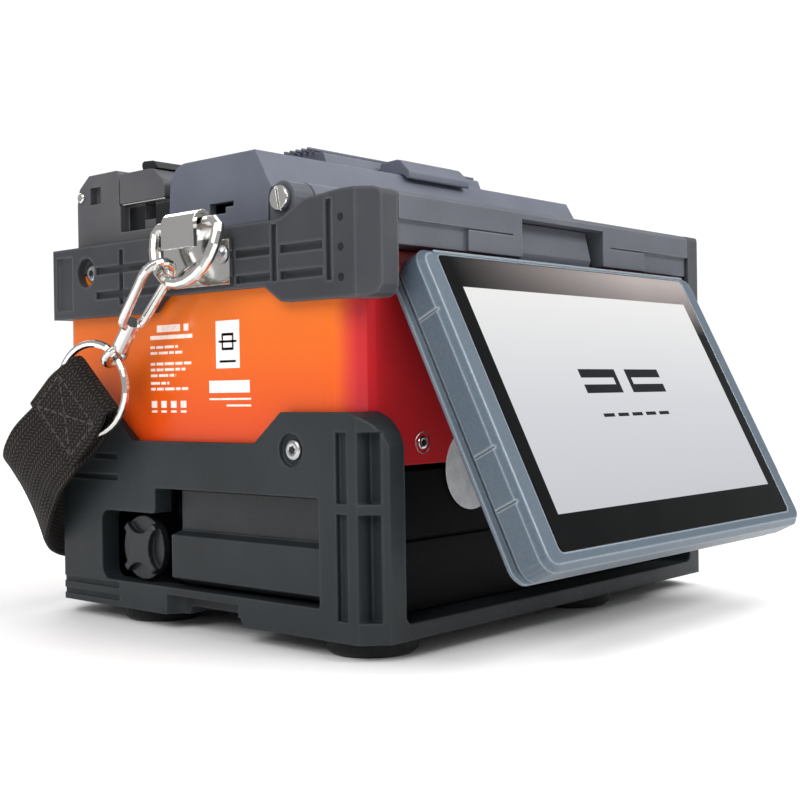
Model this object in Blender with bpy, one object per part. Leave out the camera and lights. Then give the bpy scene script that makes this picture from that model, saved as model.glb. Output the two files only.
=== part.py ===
"""A fibre fusion splicer: a moulded base with feet and battery, an orange shell,
rubber side bumpers, a work deck with wind cover and tube heater, a tilting display,
and a carrying strap on snap hooks.

Metres, +Z up, the display faces -Y. The origin is on the ground under the middle
of the machine's own box, without the strap.
"""

import math

import bmesh
import bpy
from mathutils import Matrix, Vector

for leftover in list(bpy.data.objects):
    bpy.data.objects.remove(leftover)

# ---------------------------------------------------------------- driving dimensions
GAP = 0.0003            # left between pieces that touch

BODY_W = 0.160          # across the base and the side bumpers
BODY_D = 0.130          # front of the base to its rear
SIDE = BODY_W / 2
FRONT = -BODY_D / 2
REAR = BODY_D / 2

FOOT_H = 0.004
FOOT_R = 0.0115
FOOT_INSET = 0.0145     # centre of a foot from the side and the front edge
FOOT_REAR_INSET = 0.034
FOOT_OFF_CENTRE = 0.022  # the second front foot stands inboard

BASE_LOW = FOOT_H + GAP
BASE_FLOOR = 0.004
BASE_WALL = 0.006
BASE_CHAMFER = 0.0055
BASE_WAIST = 0.0513     # top of the base wall between the corner posts
BASE_POST = 0.0593      # top of the corner posts
WAIST_Y = (-0.024, 0.026)   # where the wall starts to rise to the posts
POST_RISE = 0.010       # length of that slope
POST_INNER = SIDE - 0.011    # half the width of the front opening
SHELL_SEAT = 0.0452     # ledge that the shell stands on
ARCH_H = 0.0023         # hollow under the middle of the base
ARCH_Y = (-0.018, 0.0065)
SKIRT_Y = (-0.0150, 0.0100)  # the skirt is set back between the foot lobes
SKIRT_D = 0.0045
SKIRT_TOP = 0.0098
SCREW_SEAT = (-0.0374, 0.0499)   # y, z of the screw in each front post
SCREW_SEAT_R = 0.0042

SHELL_INSET = 0.003     # shell side behind the base side
SHELL_RECESS = 0.0095   # shell front behind the base front
SHELL_REAR_INSET = 0.003
SHELL_WALL = 0.0022
SHELL_R = 0.009         # front corner radius
SHELL_REAR_R = 0.006
SHELL_TOP = 0.0990

BUMPER_LOW = 0.0865     # underside of the bumper's end lobes
BUMPER_MID = 0.0908     # underside between the lobes
BUMPER_TOP = 0.1070
BUMPER_FRONT_TOP = 0.1122
BUMPER_BODY = 0.0077    # thickness of the bumper beside the deck
BUMPER_WRAP = 0.010     # how far it wraps round the front and rear
BUMPER_CHAMFER = 0.005
GROOVE_D = 0.0017       # grooves that part the bumper's pads
GROOVE_W = 0.0021

DECK_Z = 0.1082         # work deck
DECK_FRONT_Z = 0.1120   # raised strip with the keys
DECK_STRIP_D = 0.031    # depth of that strip from the front
DECK_SKIN = 0.003
BAND_H = 0.0058         # lower band of the front face
BAND_STEP = 0.0012
BAND_PROUD = (0.020, 0.043)  # the part of the band that stays flush

LID_W = BODY_W - 0.016
LID_REAR = 0.0185       # rear edge of the wind cover
LID_TOP = 0.1276
LID_RIDGE = -0.0175     # front end of the flat top
LID_WALL = 0.0025
LID_PIVOT = (-0.0275, 0.1137)   # y, z
LID_BARREL_R = 0.0048
LID_EAR_W = 0.007       # the deck's hinge ears take this much at each end
PLATE_W = 0.072         # raised plate on the wind cover
PLATE_TOP = 0.1345
GRIP_W = 0.028          # finger grip in front of the plate
PIN_R = 0.0019
PIN_HEAD_R = 0.0033
PIN_HEAD_T = 0.0014
PIN_LEN = 0.011

HEATER_LEN = BODY_W - 0.0164
HEATER_MID = 0.0415     # joint between the heater lid and its rear housing
HEATER_REAR = REAR - SHELL_REAR_INSET
HEATER_SEAT = 0.1190    # top of the oven trough
HEATER_TOP = 0.1282     # top of the heater lid
HEATER_BACK_TOP = 0.1295
HEATER_AXIS = (0.0397, 0.1270)   # y, z of the lid's hinge
HEATER_END = 0.0032     # recess in each end of the housing
HEATER_POCKET_D = 0.0026        # small pocket beside the lid's latch
HEATER_POCKET_Y = (0.0503, 0.0556)
HEATER_POCKET_Z = (0.1208, 0.1258)
OVEN_W = 0.008
OVEN_DEPTH = 0.005

SCREEN_W = 0.132
SCREEN_H = 0.084
SCREEN_T = 0.012
BEZEL_T = 0.0092        # front frame, the rest is the rear cover
GLASS_W = 0.118
GLASS_H = 0.0775
GLASS_DROP = 0.0022     # glass edge below the bezel's top edge
GLASS_T = 0.0012
DISPLAY_W = 0.1085
DISPLAY_H = 0.061
DISPLAY_DROP = 0.0117
DISPLAY_T = 0.0072      # the liquid-crystal panel with its driver board
SCREEN_R = 0.0045       # corner radius of the bezel
SEAM_AT = (0.21, 0.37, 0.80)    # seams in the bezel's sides, as parts of its height
SEAM = 0.0005           # width and depth of a seam
BEZEL_EDGE = 0.0016     # chamfer round the bezel's front
SCREEN_TILT_DEG = 26.5  # lean of the display at rest
HINGE_FACE = 0.0107     # hinge axis to the bezel's front face
CLOSED_GAP = 0.0005     # left between the closed display and the shell
HINGE_Y = FRONT + SHELL_RECESS - CLOSED_GAP - (SCREEN_T - HINGE_FACE)
HINGE_Z = 0.0943
HINGE_TOP = -0.0003     # bezel's top edge above the axis
HINGE_ARM_W = 0.034
HINGE_POCKET_W = 0.040
HINGE_POCKET_TOP = 0.1095
HINGE_R = 0.0032
HINGE_PIN_R = 0.0012
KNUCKLE_R = 0.0030
KNUCKLE_LEN = 0.0035    # reach of a knuckle into the display, past the notch
SCREEN_NOTCH = 0.0088   # depth and height of the notch in the display's back

BATTERY_W = 2 * (SIDE - 0.013)
BATTERY_D = 0.078
BATTERY_TOP = 0.0440

KNOB_R = 0.0092
KNOB_T = 0.0045
KNOB_Y = 0.0250
KNOB_Z = 0.0214
KNOB_SCOOP_AT = 1.15    # centre and radius of a finger scoop, as parts of KNOB_R
KNOB_SCOOP_R = 0.72

WINDOW_Y = (-0.0468, 0.0165)    # side window of the base, main part
WINDOW_Z = (0.0118, 0.0385)
WINDOW_REAR_Y = 0.0410          # lower part further back, for the battery knob
WINDOW_REAR_TOP = 0.0315
PANEL_LEDGE = 0.0260            # step of the panel in the window
PANEL_END = 0.0104              # rear end of that panel

KEY_R = 0.0042
KEY_TRAVEL = 0.0010     # a key sinks this far
KEY_PROUD = 0.0016
KEY_Y = FRONT + 0.016
KEY_X = (0.034, 0.050)

STAGE_W = 0.040
STAGE_D = 0.030
STAGE_Y = -0.003
STAGE_TOP = 0.1135
FIBRE_Z = 0.1150        # height of the fibre line

DC_X = -0.040           # power socket and data port in the rear wall
DC_R = 0.0055
USB_X = -0.015
USB_W = 0.013
PORT_Z = 0.072
FAN_Y = 0.020           # fan inside the right-hand wall
FAN_Z = 0.072
FAN_SIZE = 0.030
FAN_T = 0.008
FAN_BLADES = 7

STRAP_W = 0.025
STRAP_T = 0.0016
D_WIRE_R = 0.0016
D_ARC_R = 0.0125
D_LEG = 0.003
D_TILT_DEG = 12
D_BAR = (SIDE + 0.0055, -0.006, 0.1078)     # middle of the ring's bar, right-hand side
RING_R = 0.0125
RING_WIRE_R = 0.0011
RING_AT = (SIDE + 0.008, 0.033, 0.066)
STRAP_RUN = (0.124, 0.719, -0.683)      # the webbing leaves the right-hand ring this way
STRAP_ACROSS = (-0.124, -0.722, -0.681)
STRAP_DOUBLE = 0.0185   # length stitched back on itself
HOOK_WIRE_R = 0.0013
HOOK_LOOP_R = 0.0044
HOOK_LEN = 0.0150
SWIVEL_R = 0.0023
BRACKET_T = 0.0012

# the machine's box, without the strap, is centred on the origin
TILT = math.radians(SCREEN_TILT_DEG)
SCREEN_LOW = SCREEN_H - HINGE_TOP - BEZEL_EDGE
SCREEN_LOW_Y = HINGE_Y - HINGE_FACE * math.cos(TILT) - SCREEN_LOW * math.sin(TILT)
CENTRE_Y = (SCREEN_LOW_Y + REAR) / 2


# ---------------------------------------------------------------- materials
def linear(channel):
    value = channel / 255
    return value / 12.92 if value <= 0.04045 else ((value + 0.055) / 1.055) ** 2.4


def material(name, colour, roughness, metallic=0.0):
    made = bpy.data.materials.new(name)
    made.use_nodes = True
    shader = made.node_tree.nodes["Principled BSDF"]
    rgb = [linear(int(colour[i:i + 2], 16)) for i in (1, 3, 5)]
    shader.inputs["Base Color"].default_value = (*rgb, 1)
    shader.inputs["Roughness"].default_value = roughness
    shader.inputs["Metallic"].default_value = metallic
    return made


# ---------------------------------------------------------------- shape helpers
AXES = {"X": (0, 1, 2), "Y": (1, 0, 2), "Z": (2, 0, 1)}


def on_axis(axis, along, u, v):
    """A point at `along` on the axis, with u and v on the other two in order."""
    main, first, second = AXES[axis]
    point = [0, 0, 0]
    point[main], point[first], point[second] = along, u, v
    return Vector(point)


def prism(outline, axis, start, end):
    """A closed outline of (u, v) points, extruded from start to end along an axis."""
    bm = bmesh.new()
    ends = [[bm.verts.new(on_axis(axis, at, u, v)) for u, v in outline] for at in (start, end)]
    bm.faces.new(ends[0])
    bm.faces.new(ends[1])
    count = len(outline)
    for i in range(count):
        j = (i + 1) % count
        bm.faces.new((ends[0][i], ends[0][j], ends[1][j], ends[1][i]))
    bmesh.ops.recalc_face_normals(bm, faces=bm.faces)
    return bm


def block(low, high):
    outline = [(low[1], low[2]), (high[1], low[2]), (high[1], high[2]), (low[1], high[2])]
    return prism(outline, "X", low[0], high[0])


def rounded(points, radii, steps=4):
    """The outline with each corner replaced by an arc of its own radius."""
    if not isinstance(radii, (list, tuple)):
        radii = [radii] * len(points)
    out = []
    for i, (corner, radius) in enumerate(zip(points, radii)):
        here = Vector(corner)
        back = (Vector(points[i - 1]) - here).normalized()
        ahead = (Vector(points[(i + 1) % len(points)]) - here).normalized()
        if radius <= 0:
            out.append(tuple(here))
            continue
        half = back.angle(ahead) / 2
        centre = here + (back + ahead).normalized() * radius / math.sin(half)
        first = here + back * radius / math.tan(half) - centre
        last = here + ahead * radius / math.tan(half) - centre
        start = math.atan2(first.y, first.x)
        sweep = math.atan2(last.y, last.x) - start
        sweep = (sweep + math.pi) % (2 * math.pi) - math.pi
        for k in range(steps + 1):
            angle = start + sweep * k / steps
            out.append((centre.x + radius * math.cos(angle), centre.y + radius * math.sin(angle)))
    return out


def rectangle(half_u, low_v, high_v, radius=0, steps=4):
    corners = [(-half_u, low_v), (half_u, low_v), (half_u, high_v), (-half_u, high_v)]
    return rounded(corners, radius, steps) if radius else corners


def turned(profile, axis, centre, sides=24):
    """A profile of (radius, height) points, revolved about an axis; it closes on itself."""
    bm = bmesh.new()
    centre = Vector(centre)
    rings = []
    for radius, height in profile:
        count = sides if radius > 0 else 1
        turns = [2 * math.pi * k / sides for k in range(count)]
        rings.append([
            bm.verts.new(centre + on_axis(axis, height, radius * math.cos(a), radius * math.sin(a)))
            for a in turns])
    open_ends = profile[0][0] == 0 and profile[-1][0] == 0
    for i in range(len(rings) - open_ends):
        lower, upper = rings[i], rings[(i + 1) % len(rings)]
        for k in range(sides):
            quad = [lower[k % len(lower)], lower[(k + 1) % len(lower)],
                    upper[(k + 1) % len(upper)], upper[k % len(upper)]]
            corners = list(dict.fromkeys(quad))
            if len(corners) > 2:
                bm.faces.new(corners)
    bmesh.ops.recalc_face_normals(bm, faces=bm.faces)
    return bm


def rod(axis, centre, radius, start, end, sides=24, edge=0):
    """A round bar from start to end along an axis, with chamfered ends."""
    profile = [(0, start), (radius - edge, start), (radius, start + edge),
               (radius, end - edge), (radius - edge, end), (0, end)]
    if not edge:
        profile = [(0, start), (radius, start), (radius, end), (0, end)]
    return turned(profile, axis, centre, sides)


def swept(path, section, closed=False, across=None, widths=None):
    """A closed (u, v) section carried along a path.

    `across` gives u's direction at each point and `widths` a factor for u.
    """
    bm = bmesh.new()
    path = [Vector(p) for p in path]
    count = len(path)
    rings = []
    side = None
    for i, point in enumerate(path):
        before = path[i - 1] if closed or i else point
        after = path[(i + 1) % count] if closed or i < count - 1 else point
        tangent = (after - before).normalized()
        if across is not None:
            side = Vector(across[i])
        elif side is None:
            side = tangent.orthogonal()
        side = (side - tangent * side.dot(tangent)).normalized()
        normal = tangent.cross(side)
        width = widths[i] if widths else 1
        rings.append([bm.verts.new(point + side * u * width + normal * v) for u, v in section])
    for i in range(count if closed else count - 1):
        here, there = rings[i], rings[(i + 1) % count]
        for k in range(len(section)):
            j = (k + 1) % len(section)
            bm.faces.new((here[k], here[j], there[j], there[k]))
    if not closed:
        bm.faces.new(rings[0])
        bm.faces.new(rings[-1])
    bmesh.ops.recalc_face_normals(bm, faces=bm.faces)
    return bm


def circle(radius, sides):
    return [(radius * math.cos(2 * math.pi * k / sides), radius * math.sin(2 * math.pi * k / sides))
            for k in range(sides)]


# ---------------------------------------------------------------- object helpers
machine = bpy.data.objects.new("machine", None)
machine.location = (0, -CENTRE_Y, 0)
bpy.context.collection.objects.link(machine)


def pivot(name, place, parent=None, tilt=0):
    """An empty on a joint's axis, which its moving pieces hang on."""
    empty = bpy.data.objects.new(name, None)
    bpy.context.collection.objects.link(empty)
    empty.parent = parent or machine
    empty.location = place
    empty.rotation_euler = (tilt, 0, 0)
    return empty


def piece(name, bm, finish, holder=None, smooth=35):
    """An object from a mesh in the machine's coordinates, hung on its holder."""
    mesh = bpy.data.meshes.new(name)
    bm.to_mesh(mesh)
    bm.free()
    obj = bpy.data.objects.new(name, mesh)
    bpy.context.collection.objects.link(obj)
    obj.parent = holder or machine
    if holder and not holder.get("own_frame"):
        mesh.transform(Matrix.Translation(-Vector(holder.location)))
    mesh.shade_smooth()
    mesh.set_sharp_from_angle(angle=math.radians(smooth))
    if finish:
        mesh.materials.append(finish)
    return obj


def combine(obj, bm, operation):
    """Cut a tool away from an object, or join it on, and hide the tool."""
    tool = piece(obj.name + "_tool", bm, None, obj.parent if obj.parent != machine else None)
    tool.hide_render = True
    tool.display_type = "WIRE"
    modifier = obj.modifiers.new(operation.title(), "BOOLEAN")
    modifier.operation = operation
    modifier.solver = "EXACT"
    modifier.object = tool


def cut(obj, *tools):
    for bm in tools:
        combine(obj, bm, "DIFFERENCE")


def join(obj, *tools):
    for bm in tools:
        combine(obj, bm, "UNION")


def ease(obj, width, segments=2, angle=40):
    """Round an object's sharp edges, before anything is cut from it."""
    modifier = obj.modifiers.new("Ease", "BEVEL")
    modifier.width = width
    modifier.segments = segments
    modifier.limit_method = "ANGLE"
    modifier.angle_limit = math.radians(angle)
    modifier.harden_normals = False


def mirrored(bm):
    bmesh.ops.scale(bm, vec=(-1, 1, 1), verts=bm.verts)
    bmesh.ops.reverse_faces(bm, faces=bm.faces)
    return bm


def handed(bm, side):
    """Right-hand geometry as it is, left-hand geometry mirrored."""
    return bm if side > 0 else mirrored(bm)


SIDES = (("left", -1), ("right", 1))

base_black = material("base_black", "#33393D", 0.55)
foot_rubber = material("foot_rubber", "#161718", 0.8)
battery_black = material("battery_black", "#15171A", 0.5)
knob_black = material("knob_black", "#23272A", 0.45)
shell_orange = material("shell_orange", "#F0641E", 0.3)
bumper_rubber = material("bumper_rubber", "#4A4C50", 0.6)
deck_grey = material("deck_grey", "#5C616A", 0.45)
cover_grey = material("cover_grey", "#6B717C", 0.42)
heater_grey = material("heater_grey", "#4C4D52", 0.55)
trough_black = material("trough_black", "#1D1D20", 0.5)
aluminium = material("aluminium", "#C9CBCE", 0.35, 1.0)
steel = material("steel", "#B9BBBE", 0.25, 1.0)
chrome = material("chrome", "#E8E8EA", 0.1, 1.0)
bezel_grey = material("bezel_grey", "#5B6975", 0.4)
glass_black = material("glass_black", "#0C0D0F", 0.08)
panel_white = material("panel_white", "#E4E5E8", 0.3)
port_black = material("port_black", "#1A1B1D", 0.4)
ceramic = material("ceramic", "#E9E4DA", 0.4)
board_green = material("board_green", "#1F5A3A", 0.5)
webbing = material("webbing", "#2A2624", 0.85)
key_silver = material("key_silver", "#A9ADB3", 0.35)


# ---------------------------------------------------------------- base, feet, battery
SHELL_X = SIDE - SHELL_INSET
SHELL_FRONT = FRONT + SHELL_RECESS
SHELL_BACK = REAR - SHELL_REAR_INSET


def shell_outline(grow):
    """Plan of the shell, grown outwards by a margin."""
    x, front, back = SHELL_X + grow, SHELL_FRONT - grow, SHELL_BACK + grow
    corners = [(-x, front), (x, front), (x, back), (-x, back)]
    radii = [SHELL_R + grow, SHELL_R + grow, SHELL_REAR_R + grow, SHELL_REAR_R + grow]
    return rounded(corners, radii, 5)


def chamfered_plan(x, front, back, chamfer):
    return [(-x + chamfer, front), (x - chamfer, front), (x, front + chamfer), (x, back - chamfer),
            (x - chamfer, back), (-x + chamfer, back), (-x, back - chamfer), (-x, front + chamfer)]


def base_tray():
    plan = chamfered_plan(SIDE, FRONT, REAR, BASE_CHAMFER)
    tray = piece("base_tray", prism(plan, "Z", BASE_LOW, BASE_POST), base_black)
    floor = BASE_LOW + BASE_FLOOR
    over = BASE_POST + BASE_WALL
    cut(tray,
        prism(shell_outline(GAP), "Z", SHELL_SEAT, over),
        block((-SIDE + BASE_WALL, SHELL_FRONT - GAP, floor),
              (SIDE - BASE_WALL, REAR - BASE_WALL, over)),
        prism(rectangle(POST_INNER, floor, over + BASE_WALL, 0.002), "Y",
              FRONT - BASE_WALL, SHELL_FRONT))
    low, high = WAIST_Y
    waist = rounded([(low, BASE_WAIST), (high, BASE_WAIST), (high + POST_RISE, BASE_POST),
                     (high + POST_RISE, over), (low - POST_RISE, over),
                     (low - POST_RISE, BASE_POST)], [0.001, 0.001, 0, 0, 0, 0], 2)
    arch = [(ARCH_Y[0] - ARCH_H, BASE_LOW - ARCH_H), (ARCH_Y[1] + ARCH_H, BASE_LOW - ARCH_H),
            (ARCH_Y[1], BASE_LOW + ARCH_H), (ARCH_Y[0], BASE_LOW + ARCH_H)]
    cut(tray,
        prism(waist, "X", -BODY_W, BODY_W),
        prism(arch, "X", -BODY_W, BODY_W))
    # the front top corner of each post is rounded in side view
    corner = [(FRONT - 0.001, BASE_POST - POST_RISE), (FRONT - 0.001, BASE_POST + 0.001),
              (FRONT + POST_RISE, BASE_POST + 0.001)]
    turn = [(FRONT + POST_RISE * (1 - math.cos(a)), BASE_POST - POST_RISE * (1 - math.sin(a)))
            for a in [math.radians(t) for t in (75, 60, 45, 30, 15)]]
    cut(tray, prism(corner + turn, "X", -BODY_W, BODY_W))
    window = rounded([(WINDOW_Y[0], WINDOW_Z[0]), (WINDOW_REAR_Y, WINDOW_Z[0]),
                      (WINDOW_REAR_Y, WINDOW_REAR_TOP), (WINDOW_Y[1], WINDOW_REAR_TOP),
                      (WINDOW_Y[1], WINDOW_Z[1]), (WINDOW_Y[0], WINDOW_Z[1])],
                     [0.0008, 0.003, 0.003, 0.001, 0.0008, 0.0008], 3)
    for _, side in SIDES:
        reach = sorted((side * (SIDE - BASE_WALL - 0.002), side * (SIDE + 0.002)))
        cut(tray, prism(window, "X", *reach))
        skirt = rounded([(SIDE - SKIRT_D, SKIRT_Y[0]), (SIDE + SKIRT_D, SKIRT_Y[0] - SKIRT_D),
                         (SIDE + SKIRT_D, SKIRT_Y[1] + SKIRT_D), (SIDE - SKIRT_D, SKIRT_Y[1])],
                        [0.0035, 0, 0, 0.0035], 4)
        cut(tray, handed(prism(skirt, "Z", BASE_LOW - 0.001, SKIRT_TOP), side))
        seat = rod("X", (0, *SCREW_SEAT), SCREW_SEAT_R, SIDE - 0.0014, SIDE + 0.001, 24)
        cut(tray, handed(seat, side))
        # upright slots at the front corner, in two lengths, and level ones at the rear corner
        for y, width, depth in ((FRONT + 0.0105, 0.0036, 0.0016), (FRONT + 0.0035, 0.0040, 0.0051)):
            for low, high in ((0.0095, 0.0350), (0.0375, 0.0545)):
                cut(tray, handed(block((SIDE - depth, y - width / 2, low),
                                       (SIDE + 0.001, y + width / 2, high)), side))
        for z in (0.0060, 0.0095, 0.0400, 0.0460):
            cut(tray, handed(block((SIDE - 0.0011, 0.0330, z),
                                   (SIDE + 0.001, REAR + 0.001, z + 0.0016)), side))
    return tray


def feet():
    places = {"foot_front_left": (-SIDE + FOOT_INSET, FRONT + FOOT_INSET),
              "foot_front_right": (FOOT_OFF_CENTRE, FRONT + FOOT_INSET),
              "foot_rear_left": (-SIDE + FOOT_INSET, REAR - FOOT_REAR_INSET),
              "foot_rear_right": (SIDE - FOOT_INSET, REAR - FOOT_REAR_INSET)}
    for name, (x, y) in places.items():
        profile = [(0, 0), (FOOT_R - 0.0012, 0), (FOOT_R, 0.0010), (FOOT_R, FOOT_H), (0, FOOT_H)]
        piece(name, turned(profile, "Z", (x, y, 0), 28), foot_rubber)


def battery():
    slide = pivot("battery_slide_axis", (0, SHELL_FRONT, BASE_LOW))
    floor = BASE_LOW + BASE_FLOOR + GAP
    outline = rectangle(BATTERY_W / 2, floor, BATTERY_TOP, 0.0015, 2)
    pack = piece("battery_pack", prism(outline, "Y", SHELL_FRONT + GAP, SHELL_FRONT + BATTERY_D),
                 battery_black, slide)
    groove_z = 0.0262
    cut(pack, block((-BATTERY_W, SHELL_FRONT - 0.001, groove_z),
                    (BATTERY_W, SHELL_FRONT + 0.0011, groove_z + 0.0010)))
    # finger scoop under the front edge
    cut(pack, prism(rectangle(0.016, 0.012, 0.019, 0.003, 4), "Y", SHELL_FRONT - 0.001,
                    SHELL_FRONT + 0.006))


def battery_knob():
    holder = pivot("battery_knob_axis", (-SIDE, KNOB_Y, KNOB_Z))
    inner = SIDE - BASE_WALL + 0.0006
    knob = piece("battery_knob",
                 mirrored(rod("X", (0, KNOB_Y, KNOB_Z), KNOB_R - GAP, inner, inner + KNOB_T, 32,
                              0.0005)),
                 knob_black, holder)
    for k in range(4):
        y = KNOB_Y + KNOB_R * KNOB_SCOOP_AT * math.cos(math.pi / 2 * k)
        z = KNOB_Z + KNOB_R * KNOB_SCOOP_AT * math.sin(math.pi / 2 * k)
        scoop = rod("X", (0, y, z), KNOB_R * KNOB_SCOOP_R, inner + KNOB_T - 0.0018, SIDE, 20)
        cut(knob, mirrored(scoop))
    join(knob, mirrored(rod("X", (0, KNOB_Y, KNOB_Z), 0.0030, BATTERY_W / 2 + GAP, inner + 0.0005, 16)))


def side_panels():
    """The panel in each side window: nearly flush below, set back above its step."""
    low, high = WINDOW_Y[0] + GAP, PANEL_END
    outline = [(SIDE - 0.0065, WINDOW_Z[0] + GAP), (SIDE - 0.0009, WINDOW_Z[0] + 0.0028),
               (SIDE - 0.0009, PANEL_LEDGE), (SIDE - 0.0046, PANEL_LEDGE + 0.0010),
               (SIDE - 0.0052, WINDOW_Z[1] - GAP),
               (SIDE - 0.0088, WINDOW_Z[1] - GAP), (SIDE - 0.0088, WINDOW_Z[0] + GAP)]
    for name, side in SIDES:
        panel = handed(prism(outline, "Y", low, high), side)
        piece(f"side_panel_{name}", panel, base_black)


# ---------------------------------------------------------------- shell and bumpers
def main_shell():
    shell = piece("main_shell", prism(shell_outline(0), "Z", SHELL_SEAT + GAP, SHELL_TOP), shell_orange)
    cut(shell, prism(shell_outline(-SHELL_WALL), "Z", SHELL_SEAT - 0.01, SHELL_TOP + 0.01))
    # room behind the display's hinge
    room = HINGE_POCKET_W / 2 + KNUCKLE_LEN + 2 * GAP
    cut(shell, block((-room, SHELL_FRONT - 0.01, HINGE_Z - KNUCKLE_R - 0.0015),
                     (room, SHELL_FRONT + SHELL_WALL + 0.003, SHELL_TOP + 0.01)))
    # openings in the rear wall for the power socket and the data port, and fan slots
    for x, half in ((DC_X, DC_R + GAP), (USB_X, USB_W / 2 + GAP)):
        cut(shell, block((x - half, SHELL_BACK - 0.006, PORT_Z - half),
                         (x + half, REAR + 0.01, PORT_Z + half)))
    for k in range(6):
        z = FAN_Z - 0.0125 + 0.005 * k
        cut(shell, block((SHELL_X - 0.006, FAN_Y - 0.014, z - 0.0011),
                         (SHELL_X + 0.01, FAN_Y + 0.014, z + 0.0011)))


def bumper_outline():
    return rounded([
        (REAR, BUMPER_LOW), (REAR, BUMPER_TOP), (-0.035, BUMPER_TOP), (-0.043, BUMPER_TOP + 0.0040),
        (-0.055, BUMPER_FRONT_TOP), (FRONT, BUMPER_FRONT_TOP), (FRONT, BUMPER_LOW),
        (-0.0350, BUMPER_LOW), (-0.0285, BUMPER_MID), (0.0115, BUMPER_MID), (0.0170, BUMPER_LOW)],
        [0.002, 0.0015, 0.002, 0.002, 0.002, 0.0015, 0.003, 0.002, 0.002, 0.002, 0.002], 2)


def side_bumpers():
    deck_x = SIDE - BUMPER_BODY
    for name, side in SIDES:
        bumper = piece(f"side_bumper_{name}",
                       handed(prism(bumper_outline(), "X", SIDE - BUMPER_WRAP, SIDE), side),
                       bumper_rubber)
        chamfers = [
            [(SIDE - BUMPER_CHAMFER, FRONT - 0.001), (SIDE + 0.001, FRONT - 0.001),
             (SIDE + 0.001, FRONT + BUMPER_CHAMFER + 0.001)],
            [(SIDE - 0.003, REAR + 0.001), (SIDE + 0.001, REAR + 0.001), (SIDE + 0.001, REAR - 0.003)]]
        inside = block((0, SHELL_FRONT - GAP, BUMPER_LOW - 0.01),
                       (deck_x, SHELL_BACK + GAP, BUMPER_FRONT_TOP + 0.01))
        under = prism(shell_outline(GAP), "Z", BUMPER_LOW - 0.01, SHELL_TOP + 2 * GAP)
        cut(bumper, handed(inside, side), under)
        for corner in chamfers:
            cut(bumper, handed(prism(corner, "Z", BUMPER_LOW - 0.01, BUMPER_FRONT_TOP + 0.01), side))
        skin = SIDE - GROOVE_D
        grooves = []
        for z in (0.0920, 0.0985):
            grooves.append((-0.0495, -0.0345, z, z + GROOVE_W))
            grooves.append((-0.0310, -0.0180, z, z + GROOVE_W))
        grooves.append((-0.0335, -0.0315, BUMPER_MID + 0.001, BUMPER_TOP - 0.001))
        grooves.append((-0.0525, -0.0505, BUMPER_MID, BUMPER_FRONT_TOP - 0.002))
        for z in (0.0915, 0.0985):
            grooves.append((0.0120, 0.0290, z, z + GROOVE_W))
            grooves.append((0.0310, 0.0420, z, z + GROOVE_W))
        grooves.append((0.0290, 0.0310, 0.0895, BUMPER_TOP - 0.002))
        for y0, y1, z0, z1 in grooves:
            cut(bumper, handed(block((skin, y0, z0), (SIDE + 0.001, y1, z1)), side))
        cut(bumper, handed(rod("X", (0, 0.0468, 0.0995), 0.0043, SIDE - 0.003, SIDE + 0.001, 20), side))
        inset = block((SIDE - 0.0009, 0.0535, 0.0890), (SIDE + 0.001, REAR - 0.0038, 0.1045))
        cut(bumper, handed(inset, side))


# ---------------------------------------------------------------- deck
def deck_housing():
    step_y = FRONT + DECK_STRIP_D
    x_rear, x_front = SIDE - BUMPER_BODY - GAP, SIDE - BUMPER_WRAP - GAP
    low = SHELL_TOP + GAP
    outline = [(FRONT, low), (FRONT, DECK_FRONT_Z - 0.001), (FRONT + 0.001, DECK_FRONT_Z),
               (step_y - 0.001, DECK_FRONT_Z), (step_y, DECK_FRONT_Z - 0.001), (step_y, DECK_Z),
               (SHELL_BACK, DECK_Z), (SHELL_BACK, low)]
    deck = piece("deck_housing", prism(outline, "X", -x_rear, x_rear), deck_grey)
    for _, side in SIDES:
        cut(deck, handed(block((x_front, FRONT - 0.01, 0), (BODY_W, SHELL_FRONT - GAP, BODY_W)), side))
        inner, outer = BAND_PROUD[1], BODY_W
        cut(deck, handed(block((inner, FRONT - 0.01, 0), (outer, FRONT + BAND_STEP, low + BAND_H)),
                         side))
        cut(deck, handed(block((BAND_PROUD[0] + 0.004, FRONT - 0.01, low + BAND_H - 0.0004),
                               (inner + 0.001, FRONT + 0.0007, low + BAND_H)), side))
    hollow_front = FRONT + 0.0125
    skin_x = x_rear - DECK_SKIN
    cut(deck,
        block((-skin_x, hollow_front, 0), (skin_x, SHELL_BACK - DECK_SKIN, DECK_Z - DECK_SKIN)),
        block((-HINGE_POCKET_W / 2, FRONT - 0.01, 0),
              (HINGE_POCKET_W / 2, hollow_front - 0.0025, HINGE_POCKET_TOP)))
    # the well that the splicing stage stands in
    cut(deck, block((-STAGE_W / 2 - GAP, STAGE_Y - STAGE_D / 2 - GAP, 0),
                    (STAGE_W / 2 + GAP, STAGE_Y + STAGE_D / 2 + GAP, BODY_W)))
    for side in (-1, 1):
        for x in KEY_X:
            cut(deck, rod("Z", (side * x, KEY_Y, 0), KEY_R + GAP, DECK_FRONT_Z - 0.0035, BODY_W, 24))
    # hinge ears of the wind cover
    y, z = LID_PIVOT
    ear_r = LID_BARREL_R - 0.0002
    inner = LID_W / 2 - LID_EAR_W
    foot_z = DECK_Z - DECK_SKIN / 2
    for _, side in SIDES:
        ear = [(y - ear_r, foot_z), (y + ear_r, foot_z), (y + ear_r, z)]
        ear += [(y + ear_r * math.cos(a), z + ear_r * math.sin(a))
                for a in [math.radians(20 * k) for k in range(1, 9)]]
        ear += [(y - ear_r, z)]
        join(deck, handed(prism(ear, "X", inner, LID_W / 2), side))
        cut(deck, handed(rod("X", (0, y, z), PIN_R + GAP, inner - 0.002, SIDE, 20), side))


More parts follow.
